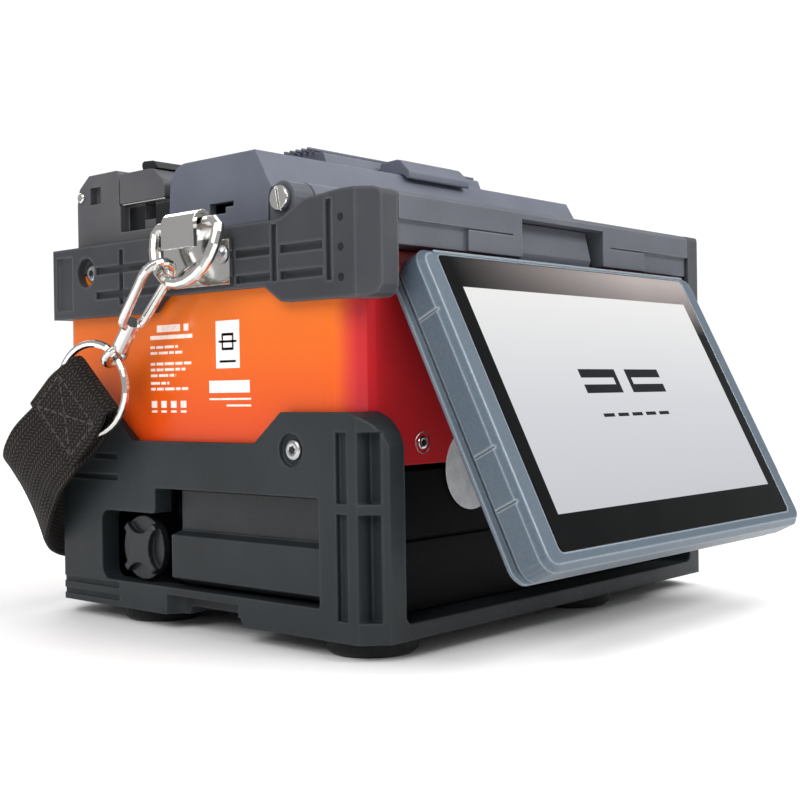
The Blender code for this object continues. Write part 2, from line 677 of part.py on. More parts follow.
def keys():
    names = {(-1, 0): "key_heat", (-1, 1): "key_power", (1, 0): "key_reset", (1, 1): "key_splice"}
    for (side, index), name in names.items():
        x = side * KEY_X[index]
        seat = DECK_FRONT_Z - 0.0035 + KEY_TRAVEL + GAP
        top = DECK_FRONT_Z + KEY_PROUD
        holder = pivot(f"{name}_axis", (x, KEY_Y, top))
        profile = [(0, seat), (KEY_R - GAP, seat), (KEY_R - GAP, top - 0.0005),
                   (KEY_R - GAP - 0.0006, top), (0, top)]
        piece(name, turned(profile, "Z", (x, KEY_Y, 0), 24), key_silver, holder)


# ---------------------------------------------------------------- wind cover
def lid_outline(inset, low):
    """Side view of the wind cover, drawn in by an inset."""
    y, z = LID_PIVOT
    top = LID_TOP - inset
    barrel = [(y + LID_BARREL_R * math.cos(a), z + LID_BARREL_R * math.sin(a))
              for a in [math.radians(t) for t in (40, 60, 80, 100, 120, 140, 160, 180, 200, 220, 240,
                                                  260)]]
    rear = rounded([(LID_REAR - inset, low), (LID_REAR - 0.0014 - inset, top),
                    (LID_RIDGE + inset, top)],
                   [0, max(0.0065 - inset, 0.002), 0], 5)[1:]
    if inset:
        front = [(y + LID_BARREL_R + inset * 0.6, low)]
        return [(LID_REAR - inset, low)] + rear + [(y + LID_BARREL_R + inset * 0.8, z + 0.0050)] + front
    return [(LID_REAR, low)] + rear + barrel + [(y + 0.0012, low)]


def wind_cover():
    y, z = LID_PIVOT
    holder = pivot("wind_cover_axis", (0, y, z))
    low = DECK_Z + GAP
    half = LID_W / 2
    cover = piece("wind_cover", prism(lid_outline(0, low), "X", -half, half), cover_grey, holder)
    cut(cover, prism(lid_outline(LID_WALL, low - 0.002), "X", -half + LID_WALL, half - LID_WALL))
    inner = half - LID_EAR_W - GAP
    for _, side in SIDES:
        cut(cover, handed(rod("X", (0, y, z), LID_BARREL_R + 0.0006, inner, half + 0.001, 28), side),
            handed(block((inner, y - 0.010, low - 0.001),
                         (half + 0.001, y + LID_BARREL_R + 0.0006, z)), side),
            handed(rod("X", (0, y, z), PIN_R + GAP, inner - PIN_LEN, inner + 0.001, 16), side))
        # stepped slot for the fibre in each end wall
        slot = [(0.0010, 0.1122), (0.0010, 0.1152), (-0.0088, 0.1152), (-0.0088, 0.1138),
                (-0.0056, 0.1138), (-0.0056, 0.1122)]
        cut(cover, handed(prism(slot, "X", half - 2 * LID_WALL, half + 0.001), side))
    top = LID_TOP + GAP
    plate = [(-0.0090, top), (0.0080, top), (0.0065, PLATE_TOP), (-0.0070, PLATE_TOP - 0.0016)]
    raised = piece("cover_top_plate",
                   prism(rounded(plate, [0, 0, 0.002, 0.001], 2), "X", -PLATE_W / 2, PLATE_W / 2),
                   cover_grey, holder)
    grip = rounded([(-0.0090, top), (-0.0090, top + 0.0042), (-0.0165, top + 0.0046),
                    (-0.0205, top + 0.0006), (-0.0205, top - 0.0020), (-0.0176, top)],
                   [0, 0.001, 0.002, 0.0008, 0.0005, 0], 2)
    piece("cover_grip", prism(grip, "X", -GRIP_W / 2, GRIP_W / 2), cover_grey, holder)
    for name, side in SIDES:
        head = half + GAP
        profile = [(0, inner - PIN_LEN + 0.001), (PIN_R, inner - PIN_LEN + 0.001), (PIN_R, head),
                   (PIN_HEAD_R, head), (PIN_HEAD_R, head + PIN_HEAD_T - 0.0003),
                   (PIN_HEAD_R - 0.0003, head + PIN_HEAD_T), (0, head + PIN_HEAD_T)]
        screw = piece(f"hinge_screw_{name}", handed(turned(profile, "X", (0, y, z), 24), side), steel)
        slot = block((head + PIN_HEAD_T - 0.0007, y - 0.004, z - 0.0004),
                     (head + 0.003, y + 0.004, z + 0.0004))
        bmesh.ops.rotate(slot, cent=(0, y, z), matrix=Matrix.Rotation(math.radians(78), 3, "X"),
                         verts=slot.verts)
        cut(screw, handed(slot, side))


# ---------------------------------------------------------------- splicing stage
def stage():
    half_d = STAGE_D / 2
    low = DECK_Z - 0.012
    block_body = piece("splice_stage", block((-STAGE_W / 2, STAGE_Y - half_d, low),
                                             (STAGE_W / 2, STAGE_Y + half_d, STAGE_TOP)), aluminium)
    vee = [(STAGE_Y - 0.0012, STAGE_TOP + 0.001), (STAGE_Y + 0.0012, STAGE_TOP + 0.001),
           (STAGE_Y, STAGE_TOP - 0.0010)]
    cut(block_body, prism(vee, "X", -STAGE_W, STAGE_W))
    cut(block_body, block((-0.004, STAGE_Y - 0.006, STAGE_TOP - 0.004),
                          (0.004, STAGE_Y + 0.006, STAGE_TOP + 0.001)))
    for name, side in SIDES:
        # ceramic V-groove that lays one fibre in line with the other
        seat = STAGE_TOP + GAP
        vee_block = piece(f"v_groove_{name}",
                          handed(block((0.0046, STAGE_Y - 0.004, seat),
                                       (0.0100, STAGE_Y + 0.004, FIBRE_Z)), side), ceramic)
        nick = [(STAGE_Y - 0.0008, FIBRE_Z + 0.0005), (STAGE_Y + 0.0008, FIBRE_Z + 0.0005),
                (STAGE_Y, FIBRE_Z - 0.0006)]
        cut(vee_block, handed(prism(nick, "X", 0.002, 0.012), side))
        # fibre clamp: a lever that swings up about an axis along the fibre
        axis_y, axis_z = STAGE_Y + half_d - 0.0040, STAGE_TOP + 0.0024
        holder = pivot(f"fibre_clamp_{name}_axis", (0, axis_y, axis_z))
        lever = [(axis_y + 0.0018, axis_z - 0.0012), (axis_y + 0.0018, axis_z + 0.0018),
                 (STAGE_Y - 0.0100, axis_z + 0.0034), (STAGE_Y - 0.0100, axis_z + 0.0006),
                 (STAGE_Y - 0.0030, FIBRE_Z + GAP), (STAGE_Y + 0.0030, FIBRE_Z + GAP),
                 (axis_y - 0.0022, axis_z - 0.0012)]
        piece(f"fibre_clamp_{name}", handed(prism(lever, "X", 0.0120, 0.0175), side), deck_grey, holder)
    for name, direction in (("front", -1), ("rear", 1)):
        # electrode: a rod in a holder, pointing at the fibres from each side
        tip, shoulder, end = 0.0016, 0.0052, 0.0118
        profile = [(0, tip), (0.0005, tip + 0.0014), (0.0006, shoulder), (0.0016, shoulder),
                   (0.0016, end), (0, end)]
        bm = turned(profile, "Y", (0, 0, FIBRE_Z + 0.0020), 16)
        if direction < 0:
            bmesh.ops.scale(bm, vec=(1, -1, 1), verts=bm.verts)
            bmesh.ops.reverse_faces(bm, faces=bm.faces)
        bmesh.ops.translate(bm, vec=(0, STAGE_Y, 0), verts=bm.verts)
        piece(f"electrode_{name}", bm, steel)


# ---------------------------------------------------------------- tube heater
def heater():
    half = HEATER_LEN / 2
    front = LID_REAR + 0.0020
    low = DECK_Z + GAP
    base_outline = [(front, low), (front, HEATER_SEAT), (HEATER_MID, HEATER_SEAT),
                    (HEATER_MID, HEATER_BACK_TOP - 0.001), (HEATER_MID + 0.001, HEATER_BACK_TOP),
                    (HEATER_REAR - 0.006, HEATER_BACK_TOP),
                    (HEATER_REAR - 0.0012, HEATER_BACK_TOP - 0.0035),
                    (HEATER_REAR, HEATER_BACK_TOP - 0.008), (HEATER_REAR, low)]
    base = piece("heater_base", prism(base_outline, "X", -half, half), heater_grey)
    mid_y = (front + HEATER_MID) / 2
    for _, side in SIDES:
        end = block((half - HEATER_END, front - 0.001, low + 0.0028),
                    (half + 0.001, HEATER_MID - 0.0006, HEATER_SEAT + 0.001))
        cut(base, handed(end, side))
    for _, side in SIDES:
        pocket = block((half - HEATER_POCKET_D, HEATER_POCKET_Y[0], HEATER_POCKET_Z[0]),
                       (half + 0.001, HEATER_POCKET_Y[1], HEATER_POCKET_Z[1]))
        cut(base, handed(pocket, side))
    oven_half = half - 0.012
    cut(base, block((-oven_half, mid_y - OVEN_W / 2, HEATER_SEAT - OVEN_DEPTH - 0.0012),
                    (oven_half, mid_y + OVEN_W / 2, HEATER_SEAT + 0.001)))
    # the fibre leaves the oven through a notch at each end
    cut(base, block((-half, mid_y - 0.0025, HEATER_SEAT - 0.0045),
                    (half, mid_y + 0.0025, HEATER_SEAT + 0.001)))
    inner = oven_half - GAP
    trough = [(mid_y - OVEN_W / 2 + GAP, HEATER_SEAT),
              (mid_y - OVEN_W / 2 + GAP, HEATER_SEAT - OVEN_DEPTH - 0.0009),
              (mid_y + OVEN_W / 2 - GAP, HEATER_SEAT - OVEN_DEPTH - 0.0009),
              (mid_y + OVEN_W / 2 - GAP, HEATER_SEAT),
              (mid_y + OVEN_W / 2 - 0.0015, HEATER_SEAT), (mid_y, HEATER_SEAT - OVEN_DEPTH),
              (mid_y - OVEN_W / 2 + 0.0015, HEATER_SEAT)]
    piece("heater_oven", prism(trough, "X", -inner, inner), aluminium)
    holder = pivot("heater_lid_axis", (0, *HEATER_AXIS))
    seat = HEATER_SEAT + 2 * GAP
    lid_outline_yz = rounded([(front, seat), (HEATER_MID - 2 * GAP, seat),
                              (HEATER_MID - 2 * GAP, HEATER_TOP - 0.0010),
                              (HEATER_MID - 0.003, HEATER_TOP), (front + 0.0055, HEATER_TOP),
                              (front, HEATER_TOP - 0.0042)],
                             [0, 0, 0.0004, 0.001, 0.002, 0.002], 2)
    lid = piece("heater_lid", prism(lid_outline_yz, "X", -half, half), heater_grey, holder)
    cut(lid, block((-half + 0.003, front + 0.0025, seat - 0.001),
                   (half - 0.003, HEATER_MID - 0.003, HEATER_TOP - 0.0035)))
    tab = [(mid_y - 0.0055, HEATER_TOP + GAP), (mid_y + 0.0015, HEATER_TOP + GAP),
           (mid_y + 0.0025, HEATER_TOP + 0.0030), (mid_y - 0.0035, HEATER_TOP + 0.0026)]
    piece("heater_lid_tab", prism(rounded(tab, [0, 0, 0.001, 0.001], 2), "X", -half + 0.002,
                                  -half + 0.018), trough_black, holder)


# ---------------------------------------------------------------- display
def display():
    """Drawn upright in its own frame: the hinge axis is the origin, the front is -Y."""
    holder = pivot("screen_axis", (0, HINGE_Y, HINGE_Z), tilt=-TILT)
    holder["own_frame"] = True
    top = HINGE_TOP
    low = top - SCREEN_H
    face = -HINGE_FACE
    part_line = face + BEZEL_T
    back = face + SCREEN_T
    half = SCREEN_W / 2
    bezel = piece("screen_bezel", prism(rectangle(half, low, top, SCREEN_R, 5), "Y", face, part_line),
                  bezel_grey, holder)
    ease(bezel, BEZEL_EDGE, 1, 60)
    glass_top = top - GLASS_DROP
    glass_low = glass_top - GLASS_H
    glass_r = SCREEN_R - 0.003
    cut(bezel, prism(rectangle(GLASS_W / 2 + GAP, glass_low - GAP, glass_top + GAP, glass_r, 4), "Y",
                     face - 0.001, face + GLASS_T + GAP))
    room = 0.0035
    cut(bezel, prism(rectangle(GLASS_W / 2 - room, glass_low + room, -SCREEN_NOTCH - 0.002, 0.001, 2),
                     "Y", face, back))
    notch_half = HINGE_POCKET_W / 2
    notch_face = face + 0.0030
    cut(bezel, block((-notch_half, notch_face, -SCREEN_NOTCH), (notch_half, back + 0.001, 0.01)))
    for part in SEAM_AT:
        z = low + SCREEN_H * part
        for _, side in SIDES:
            seam = block((half - SEAM, face - 0.001, z), (half + 0.001, back, z + SEAM))
            cut(bezel, handed(seam, side))
    cover = piece("screen_rear_cover",
                  prism(rectangle(half - 0.0006, low + 0.0006, top - 0.0006, SCREEN_R, 5), "Y",
                        part_line + GAP, back), bezel_grey, holder)
    ease(cover, 0.0009, 1, 60)
    cut(cover, block((-notch_half, notch_face, -SCREEN_NOTCH), (notch_half, back + 0.001, 0.01)))
    glass_outline = rectangle(GLASS_W / 2, glass_low, glass_top, glass_r, 4)
    piece("screen_glass", prism(glass_outline, "Y", face, face + GLASS_T), glass_black, holder)
    panel_top = min(top - DISPLAY_DROP, -SCREEN_NOTCH - 0.002 - GAP)
    panel = block((-DISPLAY_W / 2, face + GLASS_T + GAP, panel_top - DISPLAY_H),
                  (DISPLAY_W / 2, face + GLASS_T + GAP + DISPLAY_T, panel_top))
    piece("screen_panel", panel, panel_white, holder)
    # knuckles on the rear cover, one each side of the arm, bored for the pin
    reach = notch_half + KNUCKLE_LEN
    cut(bezel, rod("X", (0, 0, 0), KNUCKLE_R + GAP, -reach - GAP, reach + GAP, 24))
    for _, side in SIDES:
        join(cover, handed(rod("X", (0, 0, 0), KNUCKLE_R, HINGE_ARM_W / 2 + GAP, reach, 24), side))
    cut(cover, rod("X", (0, 0, 0), HINGE_PIN_R + GAP, -reach - GAP, reach + GAP, 16))


def hinge_arm():
    half = HINGE_ARM_W / 2
    top = HINGE_POCKET_TOP - GAP
    wall = FRONT + 0.0125 - 0.0025 - GAP
    barrel = [(HINGE_Y + HINGE_R * math.cos(a), HINGE_Z + HINGE_R * math.sin(a))
              for a in [math.radians(t) for t in range(-180, 1, 20)]]
    outline = barrel + [(HINGE_Y + HINGE_R, HINGE_Z + 0.003), (wall, SHELL_TOP + 0.0005), (wall, top),
                         (FRONT + 0.0045, top), (FRONT + 0.0025, SHELL_TOP + 0.002),
                         (HINGE_Y - HINGE_R, HINGE_Z + 0.001)]
    arm = piece("screen_hinge_arm", prism(outline, "X", -half, half), deck_grey)
    cut(arm, rod("X", (0, HINGE_Y, HINGE_Z), HINGE_PIN_R + GAP, -half - 0.001, half + 0.001, 16))
    reach = HINGE_POCKET_W / 2 + KNUCKLE_LEN - GAP
    piece("screen_hinge_pin", rod("X", (0, HINGE_Y, HINGE_Z), HINGE_PIN_R, -reach, reach, 16), steel)


# ---------------------------------------------------------------- inside the shell
def electronics():
    back = SHELL_BACK - SHELL_WALL
    sockets = (("dc_socket", DC_X, DC_R, port_black), ("usb_port", USB_X, USB_W / 2, steel))
    for name, x, half, finish in sockets:
        body = block((x - half, back - 0.012, PORT_Z - half),
                     (x + half, SHELL_BACK + 0.0004, PORT_Z + half))
        socket = piece(name, body, finish)
        if name == "dc_socket":
            cut(socket, rod("Y", (x, 0, PORT_Z), half - 0.0015, back - 0.006, REAR, 20))
            join(socket, rod("Y", (x, 0, PORT_Z), 0.0009, back - 0.007, SHELL_BACK - 0.001, 12))
        else:
            cut(socket, block((x - half + 0.0007, back - 0.009, PORT_Z - 0.0050),
                              (x + half - 0.0007, REAR, PORT_Z + 0.0050)))
            join(socket, block((x - half + 0.002, back - 0.010, PORT_Z),
                               (x + half - 0.002, back, PORT_Z + 0.002)))
    board_z = SHELL_SEAT + 0.004
    piece("main_board", block((-0.066, -0.045, board_z), (0.058, 0.044, board_z + 0.0016)), board_green)
    piece("arc_transformer", block((-0.060, 0.015, board_z + 0.0019),
                                   (-0.030, 0.040, board_z + 0.024)), battery_black)
    fan_x = SHELL_X - SHELL_WALL - GAP
    half = FAN_SIZE / 2
    frame = piece("fan_frame",
                  block((fan_x - FAN_T, FAN_Y - half, FAN_Z - half),
                        (fan_x, FAN_Y + half, FAN_Z + half)), port_black)
    cut(frame, rod("X", (0, FAN_Y, FAN_Z), half - 0.0012, fan_x - FAN_T - 0.001, fan_x + 0.001, 28))
    join(frame, rod("X", (0, FAN_Y, FAN_Z), 0.0050, fan_x - FAN_T, fan_x - FAN_T + 0.0012, 20),
         block((fan_x - FAN_T, FAN_Y - half + 0.0005, FAN_Z - 0.0012),
               (fan_x - FAN_T + 0.0012, FAN_Y + half - 0.0005, FAN_Z + 0.0012)))
    holder = pivot("fan_axis", (fan_x - FAN_T / 2, FAN_Y, FAN_Z))
    rotor = piece("fan_rotor",
                  rod("X", (0, FAN_Y, FAN_Z), 0.0045, fan_x - FAN_T + 0.0016, fan_x - 0.0008, 20),
                  port_black, holder)
    for k in range(FAN_BLADES):
        blade = block((fan_x - FAN_T + 0.0022, FAN_Y - 0.0005, FAN_Z + 0.0035),
                      (fan_x - 0.0014, FAN_Y + 0.0005, FAN_Z + half - 0.0022))
        bmesh.ops.rotate(blade, cent=(fan_x - FAN_T / 2, FAN_Y, FAN_Z),
                         matrix=Matrix.Rotation(math.radians(30), 3, "Z"), verts=blade.verts)
        bmesh.ops.rotate(blade, cent=(0, FAN_Y, FAN_Z),
                         matrix=Matrix.Rotation(2 * math.pi * k / FAN_BLADES, 3, "X"),
                         verts=blade.verts)
        join(rotor, blade)
    motor_top = DECK_Z - 0.012 - GAP
    for name, side in SIDES:
        # stepper that drives one fibre towards the other
        piece(f"feed_motor_{name}",
              handed(block((0.0105, STAGE_Y - 0.010, motor_top - 0.020),
                           (0.0300, STAGE_Y + 0.010, motor_top)), side), steel)
    # microscope that looks up at the fibre gap, with its image sensor below
    lens = [(0, motor_top - 0.026), (0.0062, motor_top - 0.026), (0.0062, motor_top - 0.010),
            (0.0040, motor_top - 0.009), (0.0040, motor_top), (0, motor_top)]
    piece("microscope", turned(lens, "Z", (0, STAGE_Y, 0), 24), port_black)


# ---------------------------------------------------------------- strap and its fittings
D_ARC_MID = Vector(D_BAR) + Vector((math.sin(math.radians(D_TILT_DEG)), 0,
                                    -math.cos(math.radians(D_TILT_DEG)))) * D_LEG
STRAP_AXIS = (D_ARC_MID.y, D_ARC_MID.z)


def d_rings():
    tilt = math.radians(D_TILT_DEG)
    down = Vector((math.sin(tilt), 0, -math.cos(tilt)))
    along = Vector((0, 1, 0))
    bar = Vector(D_BAR)
    mid = bar + down * D_LEG
    corner = 0.0015
    path = [bar + along * (D_ARC_R - corner), bar + along * D_ARC_R + down * corner]
    path += [mid + along * D_ARC_R * math.cos(a) + down * D_ARC_R * math.sin(a)
             for a in [math.radians(15 * k) for k in range(13)]]
    path += [bar - along * D_ARC_R + down * corner, bar - along * (D_ARC_R - corner)]
    path += [bar - along * 0.004, bar + along * 0.004]
    for name, side in SIDES:
        holder = pivot(f"d_ring_{name}_axis", (side * bar.x, bar.y, bar.z))
        piece(f"d_ring_{name}", handed(swept(path, circle(D_WIRE_R, 10), closed=True), side), chrome,
              holder, 50)


def strap_brackets():
    plate_x = SIDE + GAP + BRACKET_T / 2
    bar_x, bar_y, bar_z = D_BAR
    curl_r = D_WIRE_R + 0.0007 + BRACKET_T / 2
    curl = [(bar_x + curl_r * math.cos(a),
             bar_z + curl_r * math.sin(a)) for a in [math.radians(20 * k) for k in range(9, -1, -1)]]
    path = [(plate_x, bar_z - 0.0135),
            (plate_x, bar_z - 0.0035)] + curl + [(bar_x + curl_r, bar_z - 0.0063)]
    tongue_half = 0.0065
    for name, side in SIDES:
        ribbon = [(u, v) for u, v in ((-tongue_half, -BRACKET_T / 2), (tongue_half, -BRACKET_T / 2),
                                      (tongue_half, BRACKET_T / 2), (-tongue_half, BRACKET_T / 2))]
        tongue = swept([(x, bar_y, z) for x, z in path], ribbon, across=[(0, 1, 0)] * len(path))
        bracket = piece(f"strap_bracket_{name}", handed(tongue, side), chrome)
        plate = block((SIDE + GAP, bar_y - 0.0115, bar_z - 0.0158),
                      (SIDE + GAP + BRACKET_T, bar_y + 0.0150, bar_z - 0.0042))
        join(bracket, handed(plate, side))
        screw_x = SIDE + 2 * GAP + BRACKET_T
        dome = [(0, screw_x), (0.0024, screw_x), (0.0021, screw_x + 0.0007),
                (0.0012, screw_x + 0.0012), (0, screw_x + 0.0013)]
        piece(f"bracket_screw_{name}",
              handed(turned(dome, "X", (0, bar_y - 0.0090, bar_z - 0.0080), 20), side), steel)


def ring_frame():
    """The split ring's middle, the two directions in its plane and its normal (right-hand side)."""
    middle = Vector(RING_AT)
    run = Vector(STRAP_RUN).normalized()
    across = Vector(STRAP_ACROSS)
    across = (across - run * across.dot(run)).normalized()
    return middle, run, across, run.cross(across)


def hooks_rings(holder):
    middle, run, across, normal = ring_frame()
    tilt = math.radians(D_TILT_DEG)
    down = Vector((math.sin(tilt), 0, -math.cos(tilt)))
    reach = Vector((0, middle.y - D_ARC_MID.y, middle.z - D_ARC_MID.z)).normalized()
    grip = D_ARC_MID + Vector((0, 1, 0)) * reach.y * D_ARC_R - down * reach.z * D_ARC_R
    toward = grip - middle
    toward = (toward - normal * toward.dot(normal)).normalized()
    eye_mid = middle + toward * RING_R
    way = (eye_mid - grip).normalized()
    flank = Vector((1, 0, 0))
    flank = (flank - way * flank.dot(way)).normalized()
    # the sprung loop goes round the D-ring's wire and ends in a swivel
    apex = grip - way * (D_WIRE_R + HOOK_WIRE_R + GAP)
    eye_r = RING_WIRE_R + HOOK_WIRE_R + 0.0008
    top = apex + way * HOOK_LOOP_R
    foot = top + way * HOOK_LEN
    turns = [math.radians(20 * k) for k in range(10)]
    loop = [top + (flank * math.cos(a) - way * math.sin(a)) * HOOK_LOOP_R for a in turns]
    loop += [foot + (way * math.sin(a) - flank * math.cos(a)) * HOOK_LOOP_R * 0.8 for a in turns]
    eye = [eye_mid + (normal * math.cos(a) + toward * math.sin(a)) * eye_r
           for a in [math.pi / 8 * k for k in range(16)]]
    swivel = [foot + way * HOOK_LOOP_R * 0.4, eye_mid + toward * (eye_r - 0.0004)]
    split = [middle + (run * math.cos(a) + across * math.sin(a)) * RING_R
             for a in [math.pi / 18 * k for k in range(36)]]
    for name, side in SIDES:
        wire = circle(HOOK_WIRE_R, 10)
        hook = piece(f"snap_hook_{name}", handed(swept(loop, wire, closed=True), side),
                     chrome, holder, 50)
        join(hook, handed(swept(swivel, circle(SWIVEL_R, 14)), side),
             handed(swept(eye, circle(HOOK_WIRE_R * 0.85, 10), closed=True), side))
        piece(f"split_ring_{name}", handed(swept(split, circle(RING_WIRE_R, 8), closed=True), side),
              chrome, holder, 50)


def strap_route():
    """Half of the webbing's line, from the right-hand ring to the middle behind the machine.

    Each entry is a point and the direction across the webbing there.
    """
    middle, run, across, _ = ring_frame()
    leaving = [(middle + run * d, across) for d in (0, 0.010, 0.020)]
    onward = [(0.0112, -0.0078, 0.0445), (0.0088, -0.0010, 0.0370), (0.0015, 0.0070, 0.0310),
              (-0.0110, 0.0145, 0.0265), (-0.0320, 0.0200, 0.0230), (-0.0560, 0.0220, 0.0210)]
    turns = [(-0.220, -0.540, -0.810), (-0.300, -0.360, -0.880), (-0.250, -0.250, -0.930),
             (-0.150, -0.180, -0.970), (-0.060, -0.140, -0.990), (-0.020, -0.120, -0.990)]
    points = [Vector((SIDE + x, REAR + y, z)) for x, y, z in onward]
    points.append(Vector((0, REAR + 0.0225, 0.0205)))
    turns.append((0, -0.120, -0.990))
    return leaving + [(point, Vector(turn)) for point, turn in zip(points, turns)]


def smooth_line(points, steps):
    """A Catmull-Rom curve through the points."""
    points = [Vector(p) for p in points]
    out = []
    for i in range(len(points) - 1):
        p1, p2 = points[i], points[i + 1]
        p0 = points[i - 1] if i else p1 * 2 - p2
        p3 = points[i + 2] if i + 2 < len(points) else p2 * 2 - p1
        for k in range(steps):
            t = k / steps
            out.append(0.5 * (2 * p1 + (p2 - p0) * t + (2 * p0 - 5 * p1 + 4 * p2 - p3) * t * t
                              + (3 * p1 - p0 - 3 * p2 + p3) * t ** 3))
    out.append(points[-1])
    return out


def fold(end, run, across, sign):
    """The webbing's end, doubled back round its ring: points, directions and widths."""
    room = RING_WIRE_R + GAP + STRAP_T / 2
    out = run.cross(across).normalized() * sign
    narrow = (RING_R - RING_WIRE_R - 0.0009) * 2 / STRAP_W
    points = [end + run * d - out * room for d in (STRAP_DOUBLE, 0.0085, 0.0005)]
    points += [end - (run * math.sin(a) + out * math.cos(a)) * room
               for a in [math.radians(30 * k) for k in range(1, 6)]]
    points += [end + run * d + out * room for d in (0.0005, 0.0085, 0.0142)]
    return points, [across] * len(points), [1, 1] + [narrow] * 7 + [1, 1]


def strap(holder):
    half_route = strap_route()
    flipped = [(Vector((-p.x, p.y, p.z)), Vector((-w.x, w.y, w.z))) for p, w in half_route[-2::-1]]
    line = smooth_line([p for p, _ in half_route + flipped], 3)
    across = smooth_line([w for _, w in half_route + flipped], 3)
    doubled = 6     # points of the line that the folds replace
    head = fold(line[0], (line[3] - line[0]).normalized(), across[0], 1)
    tail = fold(line[-1], (line[-4] - line[-1]).normalized(), across[-1], -1)
    middle = line[doubled:-doubled]
    path = head[0] + middle + tail[0][::-1]
    sides = head[1] + across[doubled:-doubled] + tail[1]
    widths = head[2] + [1] * len(middle) + tail[2][::-1]
    section = rectangle(STRAP_W / 2, -STRAP_T / 2, STRAP_T / 2)
    piece("strap", swept(path, section, across=sides, widths=widths), webbing, holder, 50)


def carrying_strap():
    holder = pivot("strap_axis", (0, *STRAP_AXIS))
    hooks_rings(holder)
    strap(holder)


base_tray()
feet()
battery()
battery_knob()
side_panels()
main_shell()
side_bumpers()
deck_housing()
keys()
wind_cover()
stage()
heater()
display()
hinge_arm()
electronics()
d_rings()
strap_brackets()
carrying_strap()
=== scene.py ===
# %% [markdown]
# # A fibre fusion splicer
# This machine melts two glass fibres together with an electric arc. Its frame is a
# finished mechanical model, and this script dresses it: it gives every moulding its
# plastic, every fitting its metal, and adds webbing, stitches, screws and print.
# The frame stays where it is, so each new piece is placed from the frame's own boxes.

# %% Load the frame
import math

import bmesh
import bpy
from mathutils import Matrix, Vector


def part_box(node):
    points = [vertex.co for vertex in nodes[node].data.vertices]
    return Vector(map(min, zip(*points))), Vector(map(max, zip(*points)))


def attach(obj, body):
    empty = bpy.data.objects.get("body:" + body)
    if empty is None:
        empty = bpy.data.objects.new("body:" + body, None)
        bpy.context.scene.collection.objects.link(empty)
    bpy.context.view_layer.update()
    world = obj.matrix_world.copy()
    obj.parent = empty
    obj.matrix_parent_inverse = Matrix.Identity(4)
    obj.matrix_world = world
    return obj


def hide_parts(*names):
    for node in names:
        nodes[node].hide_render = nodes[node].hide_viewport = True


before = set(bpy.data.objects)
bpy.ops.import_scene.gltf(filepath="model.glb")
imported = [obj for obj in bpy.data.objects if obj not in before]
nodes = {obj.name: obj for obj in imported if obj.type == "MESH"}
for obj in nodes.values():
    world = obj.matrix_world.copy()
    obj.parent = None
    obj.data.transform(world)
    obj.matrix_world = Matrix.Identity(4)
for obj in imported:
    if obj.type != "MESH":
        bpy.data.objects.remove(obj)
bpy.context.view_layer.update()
print("the frame has", len(nodes), "nodes")

# %% [markdown]
# Drawings of a machine are in millimetres from its own middle, and the frame is in
# metres from the ground under it. One function turns the first into the second, so the
# numbers below read like a drawing. The shift is read from the frame's base, never typed.

# %% Millimetres on the machine to metres in the scene
BASE_REAR_MM = 65
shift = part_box("base_tray")[1].y - BASE_REAR_MM / 1000


def at(x, y, z):
    return Vector((x / 1000, y / 1000 + shift, z / 1000))


print("the machine's middle is", round(shift * 1000, 2), "mm behind the origin")

# %% [markdown]
# The camera stands low, in front of the machine's left corner, with a short telephoto
# lens. A camera's own axes are right, up and back, so its matrix can be written straight
# from two angles. A small roll turns right and up about the line of sight.

# %% Camera
azimuth, elevation, roll = math.radians(-48.67), math.radians(0.426), math.radians(-0.832)
back = Vector((math.sin(azimuth) * math.cos(elevation),
               -math.cos(azimuth) * math.cos(elevation), math.sin(elevation)))
level = Vector((math.cos(azimuth), math.sin(azimuth), 0))
upright = back.cross(level)
right = level * math.cos(roll) + upright * math.sin(roll)
up = upright * math.cos(roll) - level * math.sin(roll)
camera_data = bpy.data.cameras.new("camera")
camera_data.lens = 57.465
camera_data.sensor_width = 36
camera = bpy.data.objects.new("camera", camera_data)
camera.matrix_world = Matrix.Translation(at(-297.76, -265.03, 64.22)) @ Matrix(
    (right, up, back)).transposed().to_4x4()
bpy.context.collection.objects.link(camera)
bpy.context.scene.camera = camera
print("the camera stands at", [round(c, 3) for c in camera.location])

# %% [markdown]
# Colours are given as sRGB hex values, the way a paint card gives them, but a shader
# works in linear light. One function converts them. A second one adds a shader node
# with its settings and links, which keeps each material below to a few lines.

# %% Colour and node helpers
def linear(colour, alpha=1.0):
    channels = [int(colour[i:i + 2], 16) / 255 for i in (1, 3, 5)]
    return (*[c / 12.92 if c <= 0.04045 else ((c + 0.055) / 1.055) ** 2.4 for c in channels], alpha)


def add(tree, kind, inputs=None, **settings):
    made = tree.nodes.new("ShaderNode" + kind)
    for name, value in settings.items():
        setattr(made, name, value)
    for key, value in (inputs or {}).items():
        if isinstance(value, bpy.types.NodeSocket):
            tree.links.new(value, made.inputs[key])
        else:
            made.inputs[key].default_value = value
    return made


def maths(tree, operation, *values):
    """The result of one Math node."""
    return add(tree, "Math", dict(enumerate(values)), operation=operation).outputs["Value"]


def start(name, roughness, metallic=0.0, **sockets):
    """A new material, with its tree, its shader and the coordinates of the mesh."""
    made = bpy.data.materials.new(name)
    made.use_nodes = True
    tree = made.node_tree
    shader = tree.nodes["Principled BSDF"]
    shader.inputs["Roughness"].default_value = roughness
    shader.inputs["Metallic"].default_value = metallic
    for socket, value in sockets.items():
        shader.inputs[socket.replace("_", " ")].default_value = value
    place = add(tree, "TexCoord").outputs["Object"]
    return made, tree, shader, place


